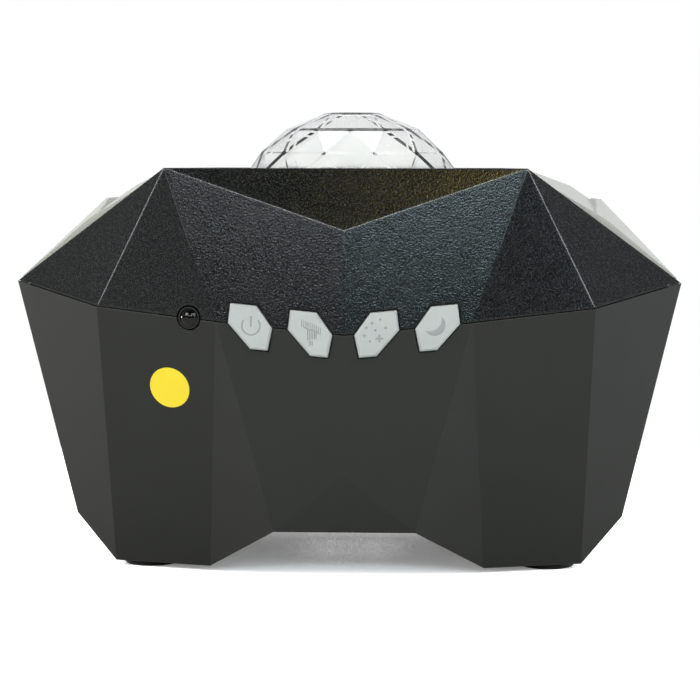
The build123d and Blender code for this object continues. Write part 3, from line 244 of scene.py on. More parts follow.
def dress(material, *names):
    """Gives CAD nodes a material in every slot."""
    for name in names:
        slots = NODES[name].material_slots
        if not slots:
            NODES[name].data.materials.append(material)
        for slot in slots:
            slot.material = material


# ---------------------------------------------------------------- sizes and colours to change
class ProjectorHousing(bpy.types.PropertyGroup):
    satin: bpy.props.StringProperty(
        name="Lower shell", description="Colour of the satin shell, sRGB hex", default="#181B1A")
    # the pale specks of the upper shell's colour are painted glints of its pits
    glint_colour: bpy.props.StringProperty(
        name="Upper shell", description="Colour of the grained shell's pale specks, sRGB hex",
        default="#23282A")
    grain_mm: bpy.props.FloatProperty(
        name="Grain", description="Width of one spark-erosion pit, in mm",
        default=0.44, min=0.1, max=2.0)
    grain_depth_mm: bpy.props.FloatProperty(
        name="Grain depth", description="Depth of the pits, in mm", default=0.050, min=0.0, max=0.3)
    edge_mm: bpy.props.FloatProperty(
        name="Edge radius", description="Radius of the moulded edges, in mm",
        default=1.0, min=0.05, max=2.0)


class ProjectorLights(bpy.types.PropertyGroup):
    cover: bpy.props.StringProperty(
        name="Side covers", description="Colour of the frosted covers, sRGB hex", default="#B6B8B4")
    crystal_ior: bpy.props.FloatProperty(
        name="Crystal index", description="Refractive index of the dome's acrylic",
        default=1.49, min=1.3, max=1.7)


class ProjectorControls(bpy.types.PropertyGroup):
    key: bpy.props.StringProperty(
        name="Buttons", description="Colour of the buttons, sRGB hex", default="#BCC2C4")
    mark: bpy.props.StringProperty(
        name="Marks", description="Colour of the marks on the buttons, sRGB hex", default="#9BA2A4")
    mark_height: bpy.props.FloatProperty(
        name="Mark height", description="How far a mark stands out of its button",
        default=0.00014, min=0.00002, max=0.0005, precision=5, unit="LENGTH")
    label: bpy.props.StringProperty(
        name="Label", description="Colour of the round label, sRGB hex", default="#FFE733")


class ProjectorStudio(bpy.types.PropertyGroup):
    target: bpy.props.FloatVectorProperty(
        name="Target", description="Point that the camera looks at", default=(0.0, 0.0, 0.0582),
        subtype="TRANSLATION", unit="LENGTH")
    distance: bpy.props.FloatProperty(
        name="Distance", description="From the camera to its target", default=0.700, unit="LENGTH")
    yaw: bpy.props.FloatProperty(
        name="Yaw", description="Turn of the camera about the vertical, in degrees", default=2.2)
    pitch: bpy.props.FloatProperty(
        name="Pitch", description="How far the camera looks down, in degrees", default=5.2)
    roll: bpy.props.FloatProperty(
        name="Roll", description="Tilt of the camera about its view, in degrees", default=0.11)
    focal: bpy.props.FloatProperty(
        name="Focal length", description="In pixels of an image 700 pixels wide", default=2216.0)
    shift: bpy.props.FloatVectorProperty(
        name="Shift", description="Offset of the image in pixels, right and down", size=2,
        default=(2.4, 16.6))
    front_wall: bpy.props.FloatProperty(
        name="Front wall", description="Brightness of the room in front of the object",
        default=0.03, min=0.0)
    back_wall: bpy.props.FloatProperty(
        name="Back wall", description="Brightness of the room behind the object",
        default=0.10, min=0.0)


GROUPS = {"projector_housing": ProjectorHousing, "projector_lights": ProjectorLights,
          "projector_controls": ProjectorControls, "projector_studio": ProjectorStudio}


# ---------------------------------------------------------------- finishes
def satin_abs(look):
    """Black ABS from a finely blasted mould: nearly smooth, with a soft even sheen."""
    made, tree, shader = surface("satin_moulded_abs", IOR=1.50)
    where = place(tree)
    edge = rounded(tree, look.edge_mm * 0.5)
    # the blasting is about 0.05 mm and is drawn at 0.25 mm so that it shows
    fine = noise(tree, where, 0.25, 2.0)
    cloud = noise(tree, where, 14.0, 3.0)
    edge_highlight = edge_share(tree, edge)
    body = tint(tree, span(tree, cloud, 0.0, 1.0), look.satin, "#1C1F1E", 0.7)
    # a little of #6A6E6C is mixed in on the rounded edges: a faint painted highlight
    share = add(tree, "ShaderNodeMath", {0: edge_highlight, 1: 0.06}, operation="MULTIPLY").outputs[0]
    highlit_colour = add(tree, "ShaderNodeMix", {0: share, 6: body, 7: linear("#6A6E6C")},
               data_type="RGBA").outputs[2]
    tree.links.new(highlit_colour, shader.inputs["Base Color"])
    tree.links.new(span(tree, cloud, 0.40, 0.47), shader.inputs["Roughness"])
    tree.links.new(relief(tree, fine, 0.012, 0.5, edge), shader.inputs["Normal"])
    return made


def grained_abs(look):
    """Black ABS from a spark-eroded mould: sharp little pits that glitter in a side light, pale
    specks in its colour that are painted glints, and edges lightened as a painted highlight and
    made less rough."""
    made, tree, shader = surface("grained_moulded_abs", IOR=1.50)
    where = place(tree)
    edge = rounded(tree, look.edge_mm)
    # the painted highlight goes only on the upright edges: the ridge and the belt edge lie outside
    # these slopes
    slope = add(tree, "ShaderNodeSeparateXYZ", {0: edge}).outputs["Z"]
    upright_edges = add(tree, "ShaderNodeMath", {
        0: span(tree, slope, 0.0, 1.0, *HIGHLIGHT_FROM), 1: span(tree, slope, 1.0, 0.0, *HIGHLIGHT_TO)},
        operation="MULTIPLY").outputs[0]
    # the painted highlight is kept off the prow and the rims of the button pockets, low in the
    # middle, as well
    spot = add(tree, "ShaderNodeSeparateXYZ", {0: where})
    aside = add(tree, "ShaderNodeMath", {0: spot.outputs["X"]}, operation="ABSOLUTE").outputs[0]
    highlight_region = add(tree, "ShaderNodeMath", {
        0: span(tree, spot.outputs["Z"], 0.0, 1.0, *POCKETS_TOP),
        1: span(tree, aside, 0.0, 1.0, *POCKETS_SIDE)}, operation="MAXIMUM").outputs[0]
    highlight_region = add(tree, "ShaderNodeMath", {0: highlight_region, 1: upright_edges},
                  operation="MULTIPLY").outputs[0]
    edge_highlight = add(tree, "ShaderNodeMath", {0: edge_share(tree, edge), 1: highlight_region},
               operation="MULTIPLY").outputs[0]
    # the pits are 0.2 to 0.3 mm and are drawn a little coarser so that they show
    pits = noise(tree, where, look.grain_mm, 0.0)
    painted_glints = noise(tree, where, look.grain_mm * 0.9, 0.0)
    cloud = noise(tree, where, 9.0, 2.0)
    # the pale specks mixed into the colour are painted glints of the pits
    body = tint(tree, span(tree, painted_glints, 0.0, 1.0, 0.50, 0.64), "#080909", look.glint_colour)
    # the pale grey #C4CACE mixed in on the edges is a painted highlight; the same edges are also
    # made less rough
    highlit_colour = add(tree, "ShaderNodeMix", {0: span(tree, edge_highlight, 0.0, 0.9, 0.1, 0.7), 6: body,
                                       7: linear("#C4CACE")}, data_type="RGBA").outputs[2]
    tree.links.new(highlit_colour, shader.inputs["Base Color"])
    rough = add(tree, "ShaderNodeMath", {0: span(tree, cloud, 0.18, 0.22),
                                         1: span(tree, edge_highlight, 0.0, 0.10, 0.1, 0.9)},
                operation="SUBTRACT").outputs[0]
    tree.links.new(rough, shader.inputs["Roughness"])
    calm = span(tree, edge_highlight, 1.0, 0.25, 0.1, 0.9)
    bumps = relief(tree, pits, look.grain_depth_mm, calm, edge)
    tree.links.new(bumps, shader.inputs["Normal"])
    return made


def frosted_polycarbonate(look):
    """Light grey diffusing polycarbonate, matt outside."""
    made, tree, shader = surface("frosted_polycarbonate", IOR=1.585)
    where = place(tree)
    edge = rounded(tree, 0.3)
    fine = noise(tree, where, 0.35, 2.0)
    cloud = noise(tree, where, 16.0, 2.0)
    body = tint(tree, span(tree, cloud, 0.0, 1.0), look.cover, "#BABCB8")
    tree.links.new(body, shader.inputs["Base Color"])
    tree.links.new(span(tree, cloud, 0.50, 0.58), shader.inputs["Roughness"])
    tree.links.new(relief(tree, fine, 0.012, 0.6, edge), shader.inputs["Normal"])
    return made


def clear_acrylic(name, ior, clearness, streak_mm):
    """Polished clear acrylic or polycarbonate: clear, with the faint waves of a moulding."""
    made, tree, shader = surface(name, IOR=ior, Transmission_Weight=1.0)
    where = place(tree)
    waves = noise(tree, where, streak_mm, 1.0)
    body = tint(tree, span(tree, waves, 0.0, 1.0), "#FEFFFE", clearness)
    tree.links.new(body, shader.inputs["Base Color"])
    tree.links.new(span(tree, waves, 0.05, 0.09), shader.inputs["Roughness"])
    tree.links.new(relief(tree, waves, 0.02, 0.25), shader.inputs["Normal"])
    return made


def moulded(name, light, dark, rough, grain_mm, depth_mm, edge_mm=0.25, ior=1.53):
    """A plain injection moulding: fine mould texture, faint cloudiness, rounded edges."""
    made, tree, shader = surface(name, IOR=ior)
    where = place(tree)
    edge = rounded(tree, edge_mm)
    fine = noise(tree, where, grain_mm, 3.0)
    cloud = noise(tree, where, 8.0, 2.0)
    tree.links.new(tint(tree, span(tree, cloud, 0.0, 1.0), light, dark),
                   shader.inputs["Base Color"])
    tree.links.new(span(tree, cloud, rough - 0.04, rough + 0.05), shader.inputs["Roughness"])
    tree.links.new(relief(tree, fine, depth_mm, 0.6, edge), shader.inputs["Normal"])
    return made


def infrared_acrylic():
    """Infrared-passing acrylic: black to the eye, polished like a bead."""
    made, tree, shader = surface("infrared_acrylic", IOR=1.42)
    cloud = noise(tree, place(tree), 2.0, 2.0)
    tree.links.new(tint(tree, span(tree, cloud, 0.0, 1.0), "#050506", "#0B090A"),
                   shader.inputs["Base Color"])
    tree.links.new(span(tree, cloud, 0.05, 0.10), shader.inputs["Roughness"])
    return made


def vinyl(look):
    """Printed vinyl film: flat and even, with the faint orange-peel of its adhesive."""
    made, tree, shader = surface("printed_vinyl", IOR=1.52)
    where = place(tree)
    peel = noise(tree, where, 0.9, 2.0)
    cloud = noise(tree, where, 5.0, 2.0)
    tree.links.new(tint(tree, span(tree, cloud, 0.0, 1.0), look.label, "#FBE22B"),
                   shader.inputs["Base Color"])
    tree.links.new(span(tree, cloud, 0.40, 0.50), shader.inputs["Roughness"])
    tree.links.new(relief(tree, peel, 0.01, 0.5), shader.inputs["Normal"])
    return made


def natural_rubber():
    """Black rubber: dull, with a matt mould skin and a trace of dust."""
    made, tree, shader = surface("moulded_rubber", IOR=1.52)
    where = place(tree)
    skin = noise(tree, where, 0.5, 4.0)
    dust = noise(tree, where, 6.0, 4.0)
    tree.links.new(tint(tree, span(tree, dust, 0.0, 1.0), "#141414", "#22211F"),
                   shader.inputs["Base Color"])
    tree.links.new(span(tree, dust, 0.72, 0.88), shader.inputs["Roughness"])
    tree.links.new(relief(tree, skin, 0.03, 0.6, rounded(tree, 0.4)), shader.inputs["Normal"])
    return made


def metal(name, colour, shade, rough, streak_mm, stretch=(1.0, 1.0, 1.0)):
    """A machined, rolled or drawn metal: the noise is stretched along the tool's path."""
    made, tree, shader = surface(name, Metallic=1.0)
    run = add(tree, "ShaderNodeMapping", {"Vector": place(tree), "Scale": stretch})
    lines = noise(tree, run.outputs["Vector"], streak_mm, 3.0)
    tree.links.new(tint(tree, span(tree, lines, 0.0, 1.0), colour, shade),
                   shader.inputs["Base Color"])
    tree.links.new(span(tree, lines, rough - 0.06, rough + 0.08), shader.inputs["Roughness"])
    tree.links.new(relief(tree, lines, 0.01, 0.4), shader.inputs["Normal"])
    return made


def circuit_board(name, mask, copper, rough=0.35):
    """Fibreglass board under solder mask: copper tracks show as paler straight runs."""
    made, tree, shader = surface(name, IOR=1.5)
    where = place(tree)
    cells = add(tree, "ShaderNodeTexVoronoi", {
        "Vector": where, "Scale": per_metre(3.0), "Randomness": 0.6},
        distance="MANHATTAN", feature="F1").outputs["Distance"]
    tracks = span(tree, cells, 0.0, 1.0, 0.42, 0.46)
    weave = noise(tree, where, 0.6, 2.0)
    tree.links.new(tint(tree, tracks, mask, copper), shader.inputs["Base Color"])
    tree.links.new(span(tree, weave, rough - 0.05, rough + 0.08), shader.inputs["Roughness"])
    tree.links.new(relief(tree, tracks, 0.035, 0.5), shader.inputs["Normal"])
    return made


def phosphor():
    """Silicone over yellow phosphor, as on a white LED."""
    made, tree, shader = surface("led_phosphor", IOR=1.41, Subsurface_Weight=0.3,
                                 Subsurface_Scale=0.001)
    grains = noise(tree, place(tree), 0.3, 3.0)
    tree.links.new(tint(tree, span(tree, grains, 0.0, 1.0), "#F2E27A", "#E6CF4E"),
                   shader.inputs["Base Color"])
    tree.links.new(span(tree, grains, 0.15, 0.3), shader.inputs["Roughness"])
    return made


def slide_film():
    """Photographic slide: smoky disc with a paler middle, where the moon's picture lies."""
    made, tree, shader = surface("slide_film", IOR=1.5)
    patches = noise(tree, place(tree), 1.4, 4.0)
    tree.links.new(tint(tree, span(tree, patches, 0.0, 1.0), "#C9C4A8", "#8F8A72"),
                   shader.inputs["Base Color"])
    tree.links.new(span(tree, patches, 0.08, 0.2), shader.inputs["Roughness"])
    return made


def pressed_paper():
    """Loudspeaker cone: pressed paper pulp, dyed black."""
    made, tree, shader = surface("pressed_paper", IOR=1.45)
    where = place(tree)
    fibre = noise(tree, where, 0.7, 6.0, 0.7)
    tree.links.new(tint(tree, span(tree, fibre, 0.0, 1.0), "#1D1C1B", "#2D2B29"),
                   shader.inputs["Base Color"])
    tree.links.new(span(tree, fibre, 0.75, 0.95), shader.inputs["Roughness"])
    tree.links.new(relief(tree, fibre, 0.08, 0.7), shader.inputs["Normal"])
    return made


# ---------------------------------------------------------------- marks on the buttons
def button_place(x, z):
    """Middle of a button's face, and its directions to the right, up and out."""
    slope = (BELT_IN[1] - PROW_Y) / BELT_IN[0]
    out = Vector((math.copysign(slope, x), -1.0, 0.0)).normalized()
    right = Vector((0.0, 0.0, 1.0)).cross(out)
    face = Vector((x, PROW_Y + slope * abs(x), z)) + out * BUTTON_PROUD
    return np.array(face), np.array(right), np.array((0.0, 0.0, 1.0)), np.array(out)


def on_button(flat, spot):
    """Carries flat points (right, up, out, in mm) onto a button's face."""
    face, right, up, out = spot
    flat = flat * MM
    return face + flat[..., :1] * right + flat[..., 1:2] * up + flat[..., 2:] * out


def bead(path, half, height, sides=6):
    """A raised line: at every point of the path stands an arch, height times the sine of its
    angle high and half times its cosine to each side, closed under the face."""
    run = np.gradient(path, axis=0)
    run /= np.linalg.norm(run, axis=1, keepdims=True)
    across = np.stack([-run[:, 1], run[:, 0]], axis=1)
    angle = np.linspace(0.0, np.pi, sides + 1)
    offset = np.concatenate([np.cos(angle), [-1.0, 1.0]])
    rise = np.concatenate([np.sin(angle) * height, [-SUNK_MM, -SUNK_MM]])
    rings = np.empty((len(path), len(offset), 3))
    rings[..., :2] = path[:, None, :] + half * offset[None, :, None] * across[:, None, :]
    rings[..., 2] = rise
    return rings


def arc(centre, radius, start, end, count=28):
    """Points of a circle's arc: centre plus radius times cosine and sine of the angle."""
    angle = np.radians(np.linspace(start, end, count))
    return np.array(centre) + radius * np.stack([np.cos(angle), np.sin(angle)], axis=1)


def sparkle(centre, size, height, points=4, waist=0.28, steps=24):
    """A raised star: the outline's radius is the size times waist + (1 - waist) |cos(n a / 2)|^3,
    and the surface falls from the middle to the rim as one less the square of the share.  A star
    without points is a round dot."""
    angle = np.linspace(0.0, 2 * np.pi, steps, endpoint=False)
    shape = np.ones(steps)
    if points:
        shape = waist + (1 - waist) * np.abs(np.cos(points * angle / 2)) ** 3
    share = np.array([1.0, 1.0, 0.8, 0.5, 0.2, 0.02])
    rise = np.array([-SUNK_MM, 0.0, 0.36, 0.75, 0.96, 1.0])
    rings = np.empty((len(share), steps, 3))
    rings[..., 0] = centre[0] + size * share[:, None] * shape * np.cos(angle)
    rings[..., 1] = centre[1] + size * share[:, None] * shape * np.sin(angle)
    rings[..., 2] = np.where(rise > 0, rise * height, rise)[:, None]
    return rings


def crescent(centre, radius, height, bite=0.79, tip=99.0, lean=51.0, steps=30):
    """A raised moon: at each step from tip to tip, a ring round the strip between the outer
    circle and a wider circle moved back by bite times the radius, half an arch high."""
    turn = np.radians(np.linspace(-tip, tip, steps))
    outer = np.stack([np.cos(turn), np.sin(turn)], axis=1)
    reach = math.hypot(outer[-1, 0] + bite, outer[-1, 1])
    bend = np.linspace(-1.0, 1.0, steps) * math.atan2(outer[-1, 1], outer[-1, 0] + bite)
    inner = np.stack([reach * np.cos(bend) - bite, reach * np.sin(bend)], axis=1)
    share = np.concatenate([np.linspace(0.0, 1.0, 8), [1.0, 0.0]])
    hill = np.sin(np.linspace(0.0, np.pi, 8)) ** 0.6 * height
    rise = np.concatenate([hill, [-SUNK_MM, -SUNK_MM]])
    flat = inner[:, None, :] + (outer - inner)[:, None, :] * share[None, :, None]
    tilt = math.radians(-lean)
    turned = np.stack([flat[..., 0] * math.cos(tilt) - flat[..., 1] * math.sin(tilt),
                       flat[..., 0] * math.sin(tilt) + flat[..., 1] * math.cos(tilt)], axis=-1)
    rings = np.empty((steps, len(share), 3))
    rings[..., :2] = np.array(centre) + radius * turned
    rings[..., 2] = rise
    return rings


def upright(x, foot, top, height):
    """One line of a curtain, standing from foot to top."""
    line = np.stack([np.full(6, x), np.linspace(foot, top, 6)], axis=1)
    return bead(line, 0.10, height * 0.9, 4)


def power_mark(height):
    """A ring open at the top and a bar standing in the opening."""
    bar = np.stack([np.full(8, 0.2), np.linspace(0.0, 3.2, 8)], axis=1)
    return [bead(arc((0.2, 0.4), 2.65, 146.0, 396.0, 44), 0.22, height), bead(bar, 0.22, height)]


def aurora_mark(height):
    """Curtains of upright lines that hang from falling edges, each narrower than the last."""
    rings = []
    for x in np.linspace(-2.5, 2.9, 10):
        top = 4.0 - 0.39 * (x + 2.5) + 0.12 * math.sin(x * 1.6)
        rings.append(upright(x, top - 1.75, top, height))
    for x in np.linspace(-0.8, 1.7, 6):
        rings.append(upright(x, -1.7 + 0.15 * x, 1.0 - 0.3 * x, height))
    for x in np.linspace(-0.35, 0.55, 3):
        rings.append(upright(x, -3.3 + 0.2 * x, -2.1, height))
    along = np.linspace(-2.6, 3.0, 28)
    hem = np.stack([along, 2.1 - 0.39 * (along + 2.5) + 0.12 * np.sin(along * 1.6)], axis=1)
    rings.append(bead(hem, 0.10, height))
    return rings


def stars_mark(height):
    """A large and three small four-pointed stars among round dots."""
    stars = (((0.9, -1.3), 1.3), ((-3.4, -0.4), 0.75), ((-2.8, 1.8), 0.6), ((-1.2, 3.1), 0.65))
    dots = (((1.1, 4.2), 0.38), ((2.65, 1.8), 0.42), ((-0.3, 1.1), 0.36), ((-1.85, -2.1), 0.34))
    return ([sparkle(spot, size, height) for spot, size in stars]
            + [sparkle(spot, size, height, points=0) for spot, size in dots])


def moon_mark(height):
    """A crescent that opens to the upper left."""
    return [crescent((-0.7, 0.75), 3.05, height)]


MARKS = {"power": power_mark, "aurora": aurora_mark, "stars": stars_mark, "moon": moon_mark}


# ---------------------------------------------------------------- operators
class PROJECTOR_OT_housing(bpy.types.Operator):
    """Finish the two housing shells"""
    bl_idname = "projector.housing"
    bl_label = "Housing shells"

    def execute(self, context):
        look = context.scene.projector_housing
        dress(satin_abs(look), "lower_housing")
        dress(grained_abs(look), "upper_housing")
        return {"FINISHED"}


class PROJECTOR_OT_light_covers(bpy.types.Operator):
    """Finish the side light covers"""
    bl_idname = "projector.light_covers"
    bl_label = "Side light covers"

    def execute(self, context):
        dress(frosted_polycarbonate(context.scene.projector_lights), "side_cover_left",
              "side_cover_right")
        return {"FINISHED"}


class PROJECTOR_OT_dome(bpy.types.Operator):
    """Finish the crystal dome, its ring and the plate under it"""
    bl_idname = "projector.dome"
    bl_label = "Crystal dome"

    def execute(self, context):
        look = context.scene.projector_lights
        dress(clear_acrylic("polished_clear_acrylic", look.crystal_ior, "#F6F9F8", 9.0),
              "crystal_dome")
        dress(moulded("black_moulded_ring", "#1B1C1C", "#232424", 0.36, 0.3, 0.01), "dome_ring")
        dress(moulded("white_moulded_abs", "#E9E9E6", "#DEDEDA", 0.5, 0.3, 0.012), "aperture_plate")
        return {"FINISHED"}


class PROJECTOR_OT_buttons(bpy.types.Operator):
    """Finish the four buttons and raise a mark on each"""
    bl_idname = "projector.buttons"
    bl_label = "Buttons and marks"

    def execute(self, context):
        look = context.scene.projector_controls
        dress(moulded("grey_moulded_abs", look.key, "#B3B9BB", 0.42, 0.3, 0.008, 0.4),
              "button_power", "button_aurora", "button_stars", "button_moon")
        ink = moulded("grey_mark_abs", look.mark, "#969DA0", 0.38, 0.3, 0.006, 0.1)
        for name, (x, z) in BUTTON_PLACES.items():
            spot = button_place(x, z)
            parts = [lofted(on_button(rings, spot)) for rings in MARKS[name](look.mark_height / MM)]
            piece = mesh_piece("mark_" + name, *joined(parts))
            shade_smooth(piece, 50.0)
            piece.data.materials.append(ink)
            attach(piece, name + "_key")
        return {"FINISHED"}


class PROJECTOR_OT_sensor(bpy.types.Operator):
    """Finish the infrared window and the round label"""
    bl_idname = "projector.sensor"
    bl_label = "Infrared window and label"

    def execute(self, context):
        dress(infrared_acrylic(), "infrared_window")
        dress(vinyl(context.scene.projector_controls), "infrared_label")
        return {"FINISHED"}


class PROJECTOR_OT_optics(bpy.types.Operator):
    """Finish the lenses, gears and light sources inside"""
    bl_idname = "projector.optics"
    bl_label = "Optical engine"

    def execute(self, context):
        dress(clear_acrylic("moulded_clear_polycarbonate", 1.585, "#EDF1F2", 2.5),
              "collimator_lens", "ripple_disc", "fixed_ripple_lens", "star_grating", "moon_lens")
        dress(moulded("natural_acetal", "#ECEAE0", "#E2DFD2", 0.4, 0.4, 0.01, 0.15, 1.48),
              "ripple_gear", "star_gear", "drive_pinion")
        dress(moulded("black_frame_abs", "#202122", "#292A2B", 0.5, 0.4, 0.02),
              "inner_frame", "bridge_plate", "moon_barrel", "moon_spacer", "button_guide")
        dress(slide_film(), "moon_slide")
        dress(phosphor(), "led_emitters", "light_emitters")
        dress(metal("turned_brass", "#D8B866", "#C2A254", 0.28, 0.3, (1, 1, 12)), "star_laser")
        dress(metal("extruded_aluminium", "#D9DADC", "#C6C8CB", 0.35, 0.5, (8, 0.6, 8)),
              "heat_sink")
        return {"FINISHED"}


class PROJECTOR_OT_electronics(bpy.types.Operator):
    """Finish the boards, the power inlet, the motor and the loudspeaker"""
    bl_idname = "projector.electronics"
    bl_label = "Electronics"

    def execute(self, context):
        dress(circuit_board("green_solder_mask", "#14462B", "#2B6B43"), "main_board",
              "button_board")
        dress(circuit_board("white_solder_mask", "#E6E7E3", "#D3D6D0", 0.45), "led_board",
              "moon_led_board", "light_board_left", "light_board_right")
        dress(moulded("black_pbt", "#17181A", "#202124", 0.45, 0.4, 0.015), "tact_switches",
              "infrared_receiver", "dc_socket")
        dress(moulded("epoxy_packages", "#1B1B1D", "#29292A", 0.55, 0.5, 0.02), "board_components")
        dress(metal("drawn_steel", "#B9BABC", "#A3A5A8", 0.36, 0.6, (1, 1, 0.1)), "drive_motor",
              "speaker_frame")
        dress(pressed_paper(), "speaker_cone")
        return {"FINISHED"}


class PROJECTOR_OT_fasteners(bpy.types.Operator):
    """Finish the screws, the steel parts and the rubber feet"""
    bl_idname = "projector.fasteners"
    bl_label = "Screws and feet"

    def execute(self, context):
        dress(metal("zinc_plated_steel", "#B5B7B9", "#9C9EA2", 0.32, 0.4), "housing_screws",
              "frame_screws", "dome_screws", "bridge_screws", "heat_sink_screws", "board_screws",
              "guide_screws", "motor_shaft", "speaker_magnet")
        dress(natural_rubber(), "rubber_feet")
        return {"FINISHED"}


def soft_lamp(name, place, distance, size, radiance, colour):
    """A rectangular soft lamp that faces the object; its power is pi times area times radiance."""
    data = bpy.data.lights.new(name, "AREA")
    data.shape = "RECTANGLE"
    data.size, data.size_y = size
    data.energy = math.pi * size[0] * size[1] * radiance
    data.color = linear(colour)[:3]
    lamp = bpy.data.objects.new(name, data)
    lamp.location = Vector((0.0, 0.0, LAMP_AIM)) + aimed(*place) * distance
    lamp.rotation_euler = (-aimed(*place)).to_track_quat("-Z", "Y").to_euler()
    bpy.context.scene.collection.objects.link(lamp)


def set_camera(stand):
    """The camera looks at the target from its distance, turned by yaw, pitch and roll."""
    yaw, pitch, roll = (math.radians(v) for v in (stand.yaw, stand.pitch, stand.roll))
    ahead = Vector((-math.sin(yaw) * math.cos(pitch), math.cos(yaw) * math.cos(pitch),
                    -math.sin(pitch)))
    right = Vector((math.cos(yaw), math.sin(yaw), 0.0))
    up = right.cross(ahead)
    right, up = (right * math.cos(roll) + up * math.sin(roll),
                 up * math.cos(roll) - right * math.sin(roll))
    data = bpy.data.cameras.new("camera")
    data.sensor_fit, data.sensor_width = "HORIZONTAL", SENSOR_MM
    data.lens = stand.focal / IMAGE_SIDE * SENSOR_MM
    data.shift_x, data.shift_y = -stand.shift[0] / IMAGE_SIDE, stand.shift[1] / IMAGE_SIDE
    data.dof.use_dof = False
    data.clip_start, data.clip_end = 0.05, 50.0
    camera = bpy.data.objects.new("camera", data)
    turn = Matrix((right, up, -ahead)).transposed().to_4x4()
    camera.matrix_world = Matrix.Translation(Vector(stand.target) - ahead * stand.distance) @ turn
    bpy.context.scene.collection.objects.link(camera)
    bpy.context.scene.camera = camera


def aimed(azimuth, height):
    """Direction in the room: degrees to the right of the front, degrees above the floor."""
    turn, rise = math.radians(azimuth), math.radians(height)
    return Vector((math.cos(rise) * math.sin(turn), -math.cos(rise) * math.cos(turn),
                   math.sin(rise)))


def patch(tree, aim, azimuth, height, inner, outer):
    """One within inner degrees of a direction in the room, falling to zero at outer degrees."""
    near = add(tree, "ShaderNodeVectorMath", {0: aim, 1: aimed(azimuth, height)},
               operation="DOT_PRODUCT")
    return add(tree, "ShaderNodeMapRange", {
        "Value": near.outputs["Value"], "From Min": math.cos(math.radians(outer)),
        "From Max": math.cos(math.radians(inner)), "To Min": 0.0, "To Max": 1.0},
        interpolation_type="SMOOTHSTEP").outputs[0]


def white_share(tree, path):
    """One for rays straight from the camera or through a clear piece, zero for all others."""
    return add(tree, "ShaderNodeMath", {
        0: path.outputs["Is Camera Ray"], 1: path.outputs["Is Transmission Ray"]},
        operation="MAXIMUM").outputs[0]


def set_room(stand):
    """A plain room: pale walls behind and at the sides, darker towards the front, and a dim
    corner above the front.  It is white to the camera and in clear pieces, and behind the
    object also in reflections."""
    world = bpy.data.worlds.new("room")
    bpy.context.scene.world = world
    world.use_nodes = True
    tree = world.node_tree
    tree.nodes.clear()
    path = add(tree, "ShaderNodeLightPath")
    aim = add(tree, "ShaderNodeTexCoord").outputs["Generated"]
    part = add(tree, "ShaderNodeSeparateXYZ", {0: aim})
    wall = add(tree, "ShaderNodeMapRange", {
        "Value": part.outputs["Y"], "From Min": -0.6, "From Max": 0.5,
        "To Min": stand.front_wall, "To Max": stand.back_wall}).outputs[0]
    dim = add(tree, "ShaderNodeMath", {0: patch(tree, aim, *DIM_CORNER), 1: -DIM_SHARE},
              operation="MULTIPLY").outputs[0]
    rest = add(tree, "ShaderNodeMath", {0: dim, 1: 1.0}, operation="ADD").outputs[0]
    level = add(tree, "ShaderNodeMath", {0: wall, 1: rest}, operation="MULTIPLY").outputs[0]
    behind = add(tree, "ShaderNodeMath", {0: span(tree, part.outputs["Y"], 0.0, 1.0, 0.0, 0.35),
                                          1: path.outputs["Is Glossy Ray"]}, operation="MULTIPLY")
    level = add(tree, "ShaderNodeMath", {0: level, 1: behind.outputs[0]},
                operation="MAXIMUM").outputs[0]
    even = add(tree, "ShaderNodeBackground", {"Color": linear("#FBFCFF"), "Strength": level})
    white = add(tree, "ShaderNodeBackground", {"Color": (1.0, 1.0, 1.0, 1.0), "Strength": 1.0})
    both = add(tree, "ShaderNodeMixShader", {
        0: white_share(tree, path), 1: even.outputs[0], 2: white.outputs[0]})
    add(tree, "ShaderNodeOutputWorld", {"Surface": both.outputs[0]})


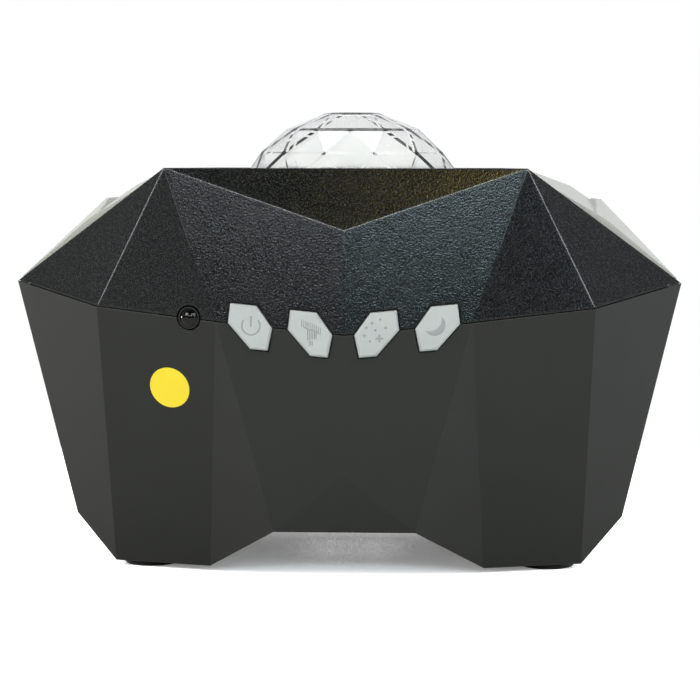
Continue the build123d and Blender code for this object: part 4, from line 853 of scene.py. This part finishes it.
def set_floor():
    """A white floor under and in front of the object, lit by the lamps, that keeps its shadow; its
    glow to the camera is dimmed by ambient occlusion, a painted shade under and beside the object.
    """
    steps = np.linspace(-1.0, 1.0, 9)
    x, y = np.meshgrid(np.sign(steps) * steps ** 2 * FLOOR_REACH,
                       FLOOR_BACK - (1 - steps) ** 2 * FLOOR_REACH / 5)
    verts = np.stack([x.ravel(), y.ravel(), np.zeros(x.size)], axis=1)
    index = np.arange(81).reshape(9, 9)
    faces = np.stack([index[:-1, :-1], index[:-1, 1:], index[1:, 1:], index[1:, :-1]], axis=-1)
    floor = mesh_piece("studio_floor", verts, faces.reshape(-1, 4).tolist())
    for polygon in floor.data.polygons:
        if polygon.normal.z < 0:
            floor.data.flip_normals()
            break
    made = bpy.data.materials.new("white_paper_floor")
    made.use_nodes = True
    tree = made.node_tree
    tree.nodes.clear()
    path = add(tree, "ShaderNodeLightPath")
    fibre = noise(tree, place(tree), 1.2, 2.0)
    paper = add(tree, "ShaderNodeBsdfDiffuse", {
        "Color": tint(tree, span(tree, fibre, 0.0, 1.0), "#F4F4F3", "#F1F1F0"), "Roughness": 0.6})
    # the glow to the camera fades where ambient occlusion is high: a painted shade under and beside
    # the object, on top of the lamps' own shadow
    near = add(tree, "ShaderNodeAmbientOcclusion", {"Distance": 0.08}, samples=8).outputs["AO"]
    glow_with_painted_shade = add(tree, "ShaderNodeEmission", {
        "Color": (1.0, 1.0, 1.0, 1.0), "Strength": span(tree, near, 0.15, 1.0, 0.0, 0.25)})
    lit = add(tree, "ShaderNodeAddShader", {0: paper.outputs[0], 1: glow_with_painted_shade.outputs[0]})
    both = add(tree, "ShaderNodeMixShader", {
        0: white_share(tree, path), 1: paper.outputs[0], 2: lit.outputs[0]})
    add(tree, "ShaderNodeOutputMaterial", {"Surface": both.outputs[0]})
    floor.data.materials.append(made)


class PROJECTOR_OT_studio(bpy.types.Operator):
    """Set up the camera, the soft lamps, the room and the floor"""
    bl_idname = "projector.studio"
    bl_label = "Studio"

    def execute(self, context):
        stand = context.scene.projector_studio
        context.scene.view_settings.view_transform = "Standard"
        set_camera(stand)
        set_room(stand)
        set_floor()
        for lamp in LAMPS:
            soft_lamp(*lamp)
        return {"FINISHED"}


OPERATORS = (
    PROJECTOR_OT_housing, PROJECTOR_OT_light_covers, PROJECTOR_OT_dome, PROJECTOR_OT_buttons,
    PROJECTOR_OT_sensor, PROJECTOR_OT_optics, PROJECTOR_OT_electronics, PROJECTOR_OT_fasteners,
    PROJECTOR_OT_studio,
)


class PROJECTOR_PT_panel(bpy.types.Panel):
    """The projector's pieces and the studio"""
    bl_idname = "PROJECTOR_PT_panel"
    bl_label = "Planetarium projector"
    bl_space_type = "VIEW_3D"
    bl_region_type = "UI"
    bl_category = "Projector"

    def draw(self, context):
        column = self.layout.column()
        for operator in OPERATORS:
            column.operator(operator.bl_idname)
        for name, kind in GROUPS.items():
            for prop in kind.__annotations__:
                column.prop(getattr(context.scene, name), prop)


CLASSES = (*GROUPS.values(), *OPERATORS, PROJECTOR_PT_panel)


def register():
    for cls in CLASSES:
        bpy.utils.register_class(cls)
    for name, kind in GROUPS.items():
        setattr(bpy.types.Scene, name, bpy.props.PointerProperty(type=kind))


def unregister():
    for name in GROUPS:
        delattr(bpy.types.Scene, name)
    for cls in reversed(CLASSES):
        bpy.utils.unregister_class(cls)


def main():
    """Makes every piece in order."""
    register()
    bpy.ops.projector.housing()
    bpy.ops.projector.light_covers()
    bpy.ops.projector.dome()
    bpy.ops.projector.buttons()
    bpy.ops.projector.sensor()
    bpy.ops.projector.optics()
    bpy.ops.projector.electronics()
    bpy.ops.projector.fasteners()
    bpy.ops.projector.studio()


if __name__ == "__main__":
    main()
